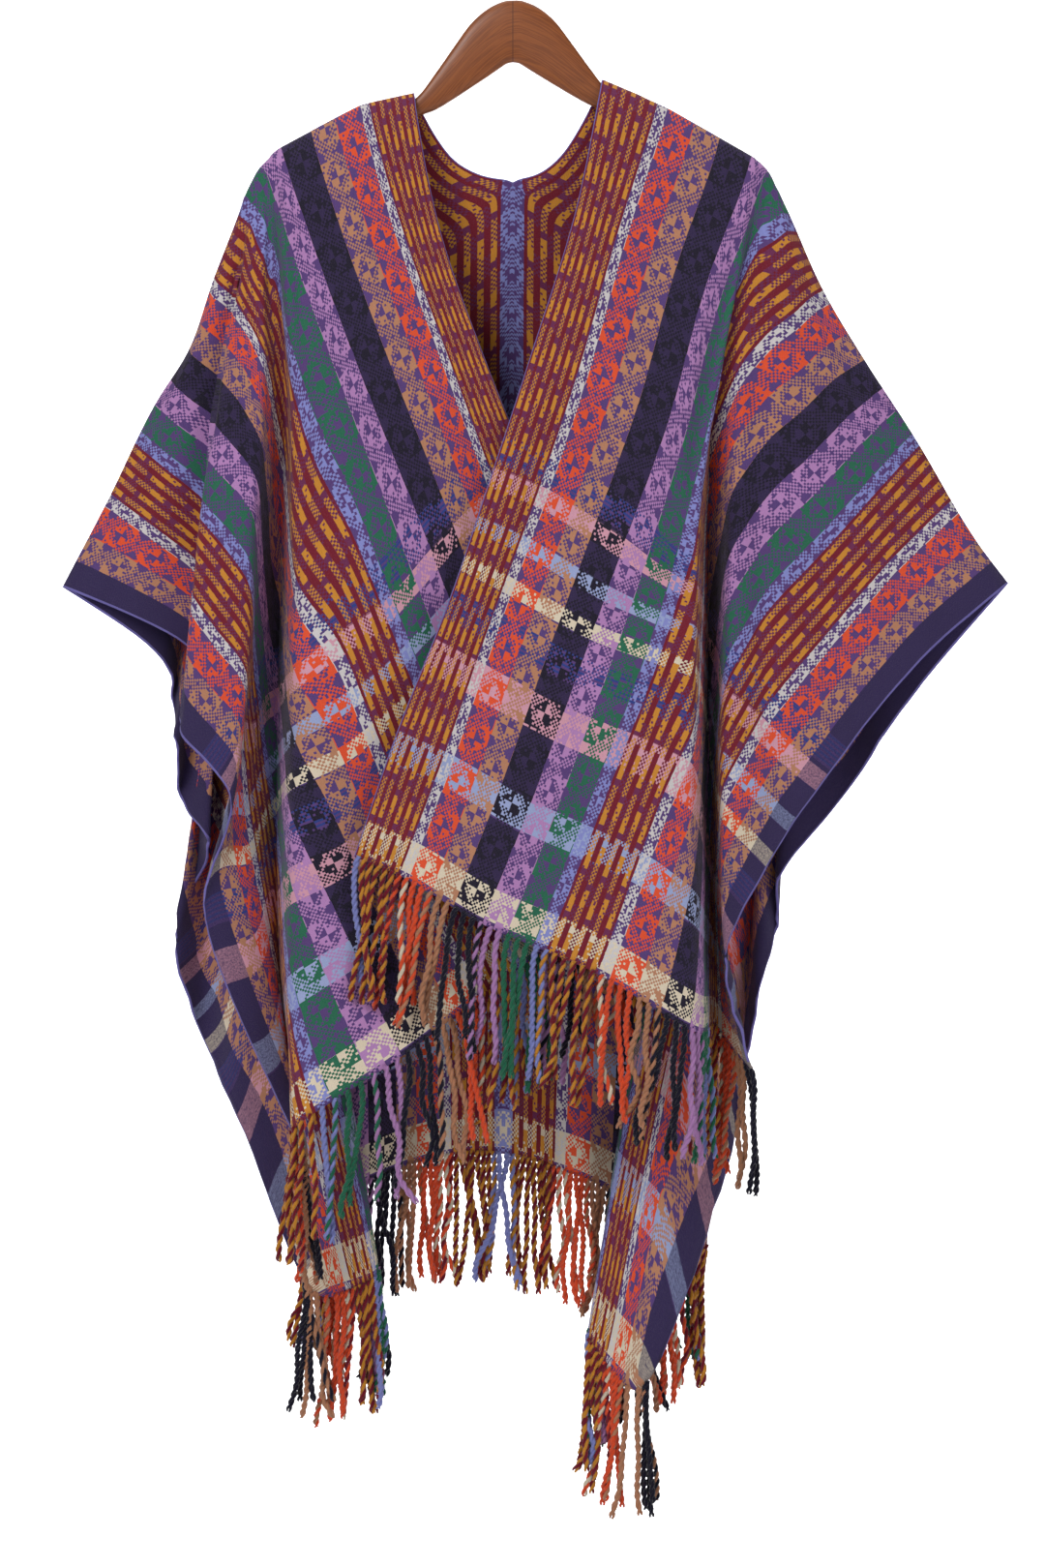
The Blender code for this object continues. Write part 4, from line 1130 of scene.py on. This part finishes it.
    rows = [(0.0, YARNS["purple"])]
    for b in BANDS:
        rows += [(b.middle - b.width / 2, YARNS[b.yarn]), (b.middle + b.width / 2, YARNS["purple"])]
    weft_band = n.bands(h, rows, 460.0)
    thin = n.under(n.math("FLOORED_MODULO", row, 2.0), 0.5)
    in_bands, part = 0.0, 0.0
    for b in BANDS:
        here = n.between(h, b.middle - b.width / 2, b.middle + b.width / 2)
        in_bands = n.add(in_bands, here)
        if b.solid < 1.0:
            part = n.add(part, here)
    weft = n.mix(n.mul(part, thin), weft_band, YARNS["purple"])
    weft = n.mix(n.mul(n.mul(in_columns, 0.65), n.flip(in_bands)), weft, YARNS["maroon"])
    in_navy = n.mul(n.between(repeat, 122.0, 155.0), n.flip(in_bands))
    weft = n.mix(n.mul(in_navy, 0.85), weft, rgb(34, 28, 60))
    weft = n.mix(n.mul(in_border, n.flip(in_bands)), weft, YARNS["indigo"])
    colour = n.mix(n.mul(n.flip(edge), n.math("SUBTRACT", 1.0, warp_shows, clamp=True)), warp, weft)

    # heathered wool: slow and fine changes of shade, and pale fibres that stand on the nap
    slow = n.noise(flat, 0.018, 3.0)
    fine = n.noise(flat, 0.9, 3.0, 0.7)
    shade = n.add(n.mul(slow, 0.22), n.mul(fine, 0.42))
    shade = n.add(shade, 0.70)
    grey = n.tree.nodes.new("ShaderNodeCombineColor")
    for socket in grey.inputs[:3]:
        n.put(socket, shade)
    colour = n.mix(1.0, colour, grey.outputs[0], "MULTIPLY")
    fibres = n.math("POWER", n.noise(n.vector(n.mul(across, 0.5), n.mul(hem, 1.7)), 1.3, 3.0, 0.8), 4.0)
    colour = n.mix(n.mul(fibres, 0.35), colour, rgb(206, 190, 200))
    n.put(n.shader.inputs["Base Color"], colour)

    ribs = n.math("SINE", n.mul(n.add(a, h), 2 * math.pi / 2.1))
    height = n.add(n.mul(ribs, 0.22), n.mul(warp_shows, 0.55))
    height = n.add(height, n.mul(fine, 0.9))
    n.put(n.shader.inputs["Normal"], n.bump(height, 0.00045, 0.8))
    n.put(n.shader.inputs["Roughness"], n.add(0.86, n.mul(fine, 0.12)))
    n.shader.inputs["Specular IOR Level"].default_value = 0.12
    n.shader.inputs["Sheen Weight"].default_value = 0.12
    n.shader.inputs["Sheen Roughness"].default_value = 0.45
    n.shader.inputs["Sheen Tint"].default_value = (1.0, 0.94, 0.97, 1.0)
    return n.mat


def yarn(name):
    """Twisted woollen yarn: its plies are modelled, and the material adds the fibres' lie and fuzz."""
    n = Nodes("yarn_" + name)
    at = n.place()
    fine = n.noise(at, 900.0, 3.0, 0.7)
    slow = n.noise(at, 60.0, 2.0)
    twist = n.attribute("twist")
    hairs = n.math("SINE", n.mul(twist, 2 * math.pi / 0.9))
    shade = n.add(n.add(n.mul(fine, 0.45), n.mul(slow, 0.3)), 0.62)
    shade = n.add(shade, n.mul(hairs, 0.05))
    grey = n.tree.nodes.new("ShaderNodeCombineColor")
    for socket in grey.inputs[:3]:
        n.put(socket, shade)
    colour = n.mix(1.0, YARNS[name], grey.outputs[0], "MULTIPLY")
    n.put(n.shader.inputs["Base Color"], colour)
    n.put(n.shader.inputs["Normal"], n.bump(n.add(fine, n.mul(hairs, 0.5)), 0.0003, 0.9))
    n.put(n.shader.inputs["Roughness"], n.add(0.85, n.mul(fine, 0.12)))
    n.shader.inputs["Specular IOR Level"].default_value = 0.12
    n.shader.inputs["Sheen Weight"].default_value = 0.3
    n.shader.inputs["Sheen Roughness"].default_value = 0.45
    return n.mat


def varnished_wood():
    n = Nodes("varnished_wood")
    grain_at = n.vector(n.attribute("grain_u"), n.attribute("grain_v"), n.attribute("grain_w"))
    stretched = n.vector(n.mul(n.attribute("grain_u"), 0.09), n.attribute("grain_v"), n.attribute("grain_w"))
    bend = n.noise(stretched, 0.16, 2.0)
    rings = n.math("SINE", n.mul(n.add(n.attribute("grain_v"), n.mul(bend, 16.0)), 1.9))
    pores = n.noise(n.vector(n.mul(n.attribute("grain_u"), 0.05), n.attribute("grain_v"), n.attribute("grain_w")), 2.4, 4.0, 0.7)
    slow = n.noise(grain_at, 0.018, 2.0)
    dark = n.add(n.mul(rings, 0.16), n.mul(pores, 0.75))
    dark = n.math("ADD", dark, n.mul(slow, 0.25), clamp=True)
    colour = n.mix(dark, rgb(96, 42, 12), rgb(166, 92, 38))
    seam = n.under(n.math("ABSOLUTE", n.add(n.attribute("grain_u"), 0.0)), 0.45)
    colour = n.mix(n.mul(seam, 0.7), colour, rgb(74, 34, 16))
    n.put(n.shader.inputs["Base Color"], colour)
    n.put(n.shader.inputs["Roughness"], n.add(0.34, n.mul(pores, 0.16)))
    n.put(n.shader.inputs["Normal"], n.bump(pores, 0.0001, 0.5))
    n.shader.inputs["Coat Weight"].default_value = 0.18
    n.shader.inputs["Coat Roughness"].default_value = 0.22
    return n.mat


def plated_steel():
    n = Nodes("plated_steel")
    fine = n.noise(n.place(), 700.0, 3.0)
    n.put(n.shader.inputs["Base Color"], n.mix(fine, rgb(176, 176, 180), rgb(208, 208, 212)))
    n.shader.inputs["Metallic"].default_value = 1.0
    n.put(n.shader.inputs["Roughness"], n.add(0.16, n.mul(fine, 0.12)))
    n.put(n.shader.inputs["Normal"], n.bump(fine, 0.00003, 0.5))
    return n.mat


def studio_paint():
    n = Nodes("studio_paper")
    slow = n.noise(n.place(), 3.0, 2.0)
    n.put(n.shader.inputs["Base Color"], n.mix(slow, rgb(244, 244, 245), rgb(248, 248, 249)))
    n.shader.inputs["Roughness"].default_value = 0.95
    n.shader.inputs["Specular IOR Level"].default_value = 0.0
    return n.mat


# ---------------------------------------------------------------- the cloth's three walls
wool = woven_cloth()
left_front = fine_grid(LEFT_FRONT, STEPS["LEFT_FRONT"])
right_front = fine_grid(RIGHT_FRONT, STEPS["RIGHT_FRONT"])
left_back = fine_grid(LEFT_BACK, STEPS["LEFT_BACK"])
right_back = fine_grid(RIGHT_BACK, STEPS["RIGHT_BACK"])
left_front_p = cloth_points(left_front, -1, LEFT_FRONT_CREASES, 0.3)
right_front_p = cloth_points(right_front, -1, RIGHT_FRONT_CREASES, 1.9)
left_back, right_back = relax_selvedge(relax_nape(left_back)), relax_selvedge(relax_nape(right_back))
left_front, right_front = relax_selvedge(left_front), relax_selvedge(right_front)
left_back_p = cloth_points(left_back, 1, LEFT_BACK_CREASES, 0.9)
right_back_p = cloth_points(right_back, 1, RIGHT_BACK_CREASES, 2.7)
shared = 0.5 * (left_back_p[:, 0] + right_back_p[:, 0])
below = left_back[:, 0, 1] >= 185.9
left_back_p[below, 0] = right_back_p[below, 0] = shared[below]

cloth_left = cloth_piece("cloth_front_left", "front_left", [(left_front, left_front_p)], -1, FRONT_DROP, wool)
cloth_right = cloth_piece("cloth_front_right", "front_right", [(right_front, right_front_p)], -1, FRONT_DROP, wool)
cloth_back = cloth_piece(
    "cloth_back", "back", [(left_back, left_back_p), (right_back, right_back_p)], 1, BACK_DROP, wool
)

# ---------------------------------------------------------------- the fringes
STRAND_EVERY = 10.0  # mm of hem gathered into each strand
STRAND_CLOSE = 6.6  # the same where the hem behind hangs spread
PLY_R = 0.0020  # each ply's radius
PLY_OFF = 0.00115  # and its distance from the strand's middle
TURN = 0.0150  # length of one turn of the twist
SIDES = 5
yarn_names = ["periwinkle", "maroon", "gold", "white", "orange", "tan", "navy", "lilac", "green", "cream"]
yarn_mats = {name: yarn(name) for name in yarn_names}


def yarn_at(across, ply):
    """The yarn that leaves the hem at a place: in the columns one ply is maroon and the other gold."""
    if across > BORDER:
        return "navy" if ply or across < 596 else "periwinkle"
    at = (across - FIRST) % REPEAT
    stripe = [s for s in STRIPES if s.start <= at][-1]
    if stripe.yarn == "maroon":
        return "gold" if ply else "maroon"
    if stripe.yarn == "white":
        return "orange" if ply else "cream"
    return stripe.yarn


def strand_roots(grid, p, last, spread_every=STRAND_EVERY):
    """Where strands leave the hem: (place, way out of the cloth, across), one every STRAND_EVERY of cloth, or every
    spread_every where the hem hangs more than half spread."""
    hem_across = grid[-1, : last + 1, 3]
    roots = []
    at = 5.0
    while at < 604:
        c = int(np.clip(np.searchsorted(hem_across, at) - 1, 0, last - 1))
        w = float(np.clip((at - hem_across[c]) / max(hem_across[c + 1] - hem_across[c], 1e-6), 0, 1))
        end = p[-1, c] * (1 - w) + p[-1, c + 1] * w
        above = p[-3, c] * (1 - w) + p[-3, c + 1] * w
        way = (end - above) / np.linalg.norm(end - above)
        roots.append((end, way, at))
        sideways = abs(p[-1, c + 1, 0] - p[-1, c, 0]) * 1000 / max(hem_across[c + 1] - hem_across[c], 1e-6)
        at += spread_every if sideways > 0.5 else STRAND_EVERY
    return roots


def fringe_piece(name, node, roots, sway, seed):
    """Two-ply twisted strands that leave the hem with the cloth and then hang, each with its own slight bends and end."""
    rng = np.random.default_rng(seed)
    points, faces, mats, twist = [], [], [], []
    for end, way, across in roots:
        length = FRINGE * rng.uniform(0.9, 1.03)
        lean = np.array((sway + rng.normal(0, 0.09), rng.normal(0, 0.06), -1.0))
        lean /= np.linalg.norm(lean)
        phase, turn = rng.uniform(0, 6.28), TURN * rng.uniform(0.85, 1.2)
        wob = rng.normal(0, 0.0024, 4)
        count = 52
        centre = np.zeros((count + 1, 3))
        at = end - way * 0.002
        step = (length + 0.002) / count
        for k in range(count + 1):
            centre[k] = at
            s = k / count
            w = min(1.0, s / 0.25) ** 0.8
            d = way * (1 - w) + lean * w
            at = at + d / np.linalg.norm(d) * step
        s = np.linspace(0, 1, count + 1)
        centre[:, 0] += wob[0] * np.sin(s * 5.5 + phase) * s + wob[1] * np.sin(s * 11 + phase) * s
        centre[:, 1] += wob[2] * np.sin(s * 6.5 + phase) * s + wob[3] * np.sin(s * 9 + phase) * s
        tangent = np.gradient(centre, axis=0)
        tangent /= np.linalg.norm(tangent, axis=1)[:, None]
        side = np.cross(tangent, (0.0, 1.0, 0.0))
        side /= np.linalg.norm(side, axis=1)[:, None]
        other = np.cross(tangent, side)
        for ply in (0, 1):
            mat = yarn_names.index(yarn_at(across + (3 if ply else -3), ply))
            spin = phase + 2 * math.pi * s * length / turn + ply * math.pi
            open_out = 1.0 + 0.5 * np.clip((s - 0.93) / 0.07, 0, 1)
            thin = 1.0 - 0.55 * np.clip((s - 0.96) / 0.04, 0, 1)
            middle = centre + (side * np.cos(spin)[:, None] + other * np.sin(spin)[:, None]) * PLY_OFF * open_out[:, None]
            base = len(points)
            for k in range(count + 1):
                for q in range(SIDES):
                    w = 2 * math.pi * q / SIDES + spin[k] * 0.5
                    points.append(middle[k] + (side[k] * math.cos(w) + other[k] * math.sin(w)) * PLY_R * thin[k])
                    twist.append(s[k] * length * 1000 + q * 0.9 / SIDES)
            for k in range(count):
                for q in range(SIDES):
                    j = (q + 1) % SIDES
                    a, b = base + k * SIDES, base + (k + 1) * SIDES
                    faces.append((a + q, a + j, b + j, b + q))
                    mats.append(mat)
            faces.append(tuple(base + q for q in reversed(range(SIDES))))
            faces.append(tuple(base + count * SIDES + q for q in range(SIDES)))
            mats += [mat, mat]
    mesh = bpy.data.meshes.new(name)
    mesh.from_pydata([tuple(q) for q in points], [], faces)
    for yarn_name in yarn_names:
        mesh.materials.append(yarn_mats[yarn_name])
    mesh.polygons.foreach_set("material_index", mats)
    float_attribute(mesh, "twist", twist)
    mesh.shade_smooth()
    obj = bpy.data.objects.new(name, mesh)
    bpy.context.scene.collection.objects.link(obj)
    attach(obj, "root")
    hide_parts(node)
    return obj


def hem_last(folds, steps):
    return sum(steps[: list(folds).index("corner_line")]) * FINE


fringe_left = fringe_piece(
    "strands_front_left", "fringe_front_left",
    strand_roots(left_front, left_front_p, hem_last(LEFT_FRONT, STEPS["LEFT_FRONT"])), -0.05, 11,
)
fringe_right = fringe_piece(
    "strands_front_right", "fringe_front_right",
    strand_roots(right_front, right_front_p, hem_last(RIGHT_FRONT, STEPS["RIGHT_FRONT"])), 0.02, 12,
)
fringe_behind = fringe_piece(
    "strands_back", "fringe_back",
    strand_roots(left_back, left_back_p, hem_last(LEFT_BACK, STEPS["LEFT_BACK"]), STRAND_CLOSE)
    + strand_roots(right_back, right_back_p, hem_last(RIGHT_BACK, STEPS["RIGHT_BACK"]), STRAND_CLOSE), 0.0, 13,
)


# ---------------------------------------------------------------- the hanger
def fine_wood():
    """The bent arm with a rounded section, its outline smoothed between the part's stations."""
    side = [(row.u_out, row.top + SINK, row.bottom + SINK) for row in WOOD_ROWS]
    knots = np.array([s[0] for s in side], float)
    rows = np.array(side, float)
    outs = np.concatenate((np.linspace(0, 120, 40), np.linspace(124, 246, 30), (248.0, 249.4, 250.0)))
    fine = [hermite(rows, knots, float(u), 1.0) for u in outs]
    fine = [(-u, a, b) for u, a, b in reversed(fine[1:])] + [tuple(f) for f in fine]
    ring = 32
    points, faces, gu, gv, gw = [], [], [], [], []
    for u, a, b in fine:
        mid, half = (a + b) / 2, (b - a) / 2
        end = 1.0 if abs(u) < 247 else max(0.55, math.sqrt(max(0.0, 1 - ((abs(u) - 247) / 3.3) ** 2)))
        lean = LEAN if u < 0 else -LEAN / 2
        for k in range(ring):
            w = 2 * math.pi * (k + 0.5) / ring
            cx, cz = math.cos(w), math.sin(w)
            px = math.copysign(abs(cx) ** 0.7, cx) * HANGER_THICK / 2 * end
            pz = math.copysign(abs(cz) ** 0.75, cz) * half * end
            p = place(MID_U + u, mid - pz + lean * min(1.0, abs(u) / 98.0), 0)
            points.append((p[0], px, p[2]))
            gu.append(u * 0.85)
            gv.append(-pz * 0.85 + u * 0.12)
            gw.append(px * 1000)
    for s in range(len(fine) - 1):
        for k in range(ring):
            j = (k + 1) % ring
            faces.append((s * ring + k, s * ring + j, (s + 1) * ring + j, (s + 1) * ring + k))
    faces.append(tuple(range(ring)))
    faces.append(tuple(reversed(range((len(fine) - 1) * ring, len(fine) * ring))))
    mesh = bpy.data.meshes.new("hanger_arm")
    mesh.from_pydata(points, [], faces)
    float_attribute(mesh, "grain_u", gu)
    float_attribute(mesh, "grain_v", gv)
    float_attribute(mesh, "grain_w", gw)
    bm = bmesh.new()
    bm.from_mesh(mesh)
    bmesh.ops.recalc_face_normals(bm, faces=bm.faces[:])
    bm.to_mesh(mesh)
    bm.free()
    mesh.shade_smooth()
    mesh.set_sharp_from_angle(angle=math.radians(60))
    obj = bpy.data.objects.new("hanger_arm", mesh)
    bpy.context.scene.collection.objects.link(obj)
    mesh.materials.append(varnished_wood())
    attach(obj, "root")
    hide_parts("hanger_wood")
    return obj


def fine_hook():
    """The wire hook, round and smooth, with a rounded end."""
    centre = np.array((0.0, 0.0, WIRE_R - HOOK_R))
    foot = WOOD_TOP + 0.0009 - (SINK + WOOD_ROWS[0].top - 1) * UNIT
    path = [(0.0, 0.0, foot), (0.0, 0.0, WOOD_TOP + 0.004), (0.0004, 0.0, WOOD_TOP + 0.008)]
    for k in range(57):
        w = math.radians(-74 + k * 224 / 56)
        path.append(tuple(centre + HOOK_R * np.array((math.cos(w), 0.0, math.sin(w)))))
    curve = bpy.data.curves.new("hook_wire", "CURVE")
    curve.dimensions = "3D"
    curve.bevel_depth = WIRE_R
    curve.bevel_resolution = 6
    curve.use_fill_caps = True
    spline = curve.splines.new("POLY")
    spline.points.add(len(path) - 1)
    for p, q in zip(spline.points, path):
        p.co = (*q, 1)
    spline.points[len(path) - 1].radius = 0.7
    spline.use_smooth = True
    obj = bpy.data.objects.new("hook_wire", curve)
    bpy.context.scene.collection.objects.link(obj)
    curve.materials.append(plated_steel())
    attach(obj, "root")
    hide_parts("hanger_hook")
    return obj


fine_wood()
fine_hook()

# ---------------------------------------------------------------- the studio
paper = studio_paint()
FLOOR = -2.05
profile = [(-7.0, FLOOR), (4.6, FLOOR)]
profile += [(4.6 + 1.6 * math.sin(w), FLOOR + 1.6 * (1 - math.cos(w))) for w in (math.radians(d) for d in range(6, 91, 6))]
profile += [(6.2, 4.5)]
sweep_points = [(x, y, z) for y, z in profile for x in (-8.0, 8.0)]
sweep_faces = [(2 * k, 2 * k + 1, 2 * k + 3, 2 * k + 2) for k in range(len(profile) - 1)]
sweep_mesh = bpy.data.meshes.new("studio_sweep")
sweep_mesh.from_pydata(sweep_points, [], sweep_faces)
sweep_mesh.shade_smooth()
sweep_mesh.materials.append(paper)
sweep = bpy.data.objects.new("studio_sweep", sweep_mesh)
bpy.context.scene.collection.objects.link(sweep)

world = bpy.data.worlds.new("studio")
bpy.context.scene.world = world
world.use_nodes = True
world.node_tree.nodes["Background"].inputs[0].default_value = (1.0, 1.0, 1.0, 1.0)
world.node_tree.nodes["Background"].inputs[1].default_value = 0.24


def soft_light(name, at, aim, size, power):
    light = bpy.data.lights.new(name, "AREA")
    light.shape = "RECTANGLE"
    light.size, light.size_y = size
    light.energy = power
    obj = bpy.data.objects.new(name, light)
    bpy.context.scene.collection.objects.link(obj)
    obj.location = at
    obj.rotation_euler = (Vector(aim) - Vector(at)).to_track_quat("-Z", "Y").to_euler()
    return obj


soft_light("key", (-1.9, -3.4, 1.5), (0.0, 0.0, -0.65), (1.6, 1.8), 86)
soft_light("fill", (2.6, -3.0, 0.1), (0.0, 0.0, -0.7), (2.0, 2.2), 28)
soft_light("top", (0.0, 0.2, 2.2), (0.0, 0.0, -0.6), (2.2, 1.6), 24)
soft_light("behind", (0.6, 3.6, 0.8), (0.0, 0.0, -0.7), (2.4, 2.0), 40)
soft_light("paper_left", (-3.0, 2.6, 0.6), (-0.4, 6.2, -0.2), (3.0, 3.0), 260)
soft_light("paper_right", (3.0, 2.6, 0.6), (0.4, 6.2, -0.2), (3.0, 3.0), 260)

camera = bpy.data.cameras.new("camera")
camera.sensor_width = 36.0
camera.lens = 36.0 * VIEW_FAR / (1620 * UNIT)
camera.clip_end = 60.0
eye = bpy.data.objects.new("camera", camera)
bpy.context.scene.collection.objects.link(eye)
eye.location = ((AXIS_U - MID_U) * UNIT, -VIEW_FAR, WOOD_TOP - AXIS_V * UNIT)
eye.rotation_euler = (math.radians(90), 0.0, 0.0)
bpy.context.scene.camera = eye
bpy.context.scene.view_settings.view_transform = "Standard"
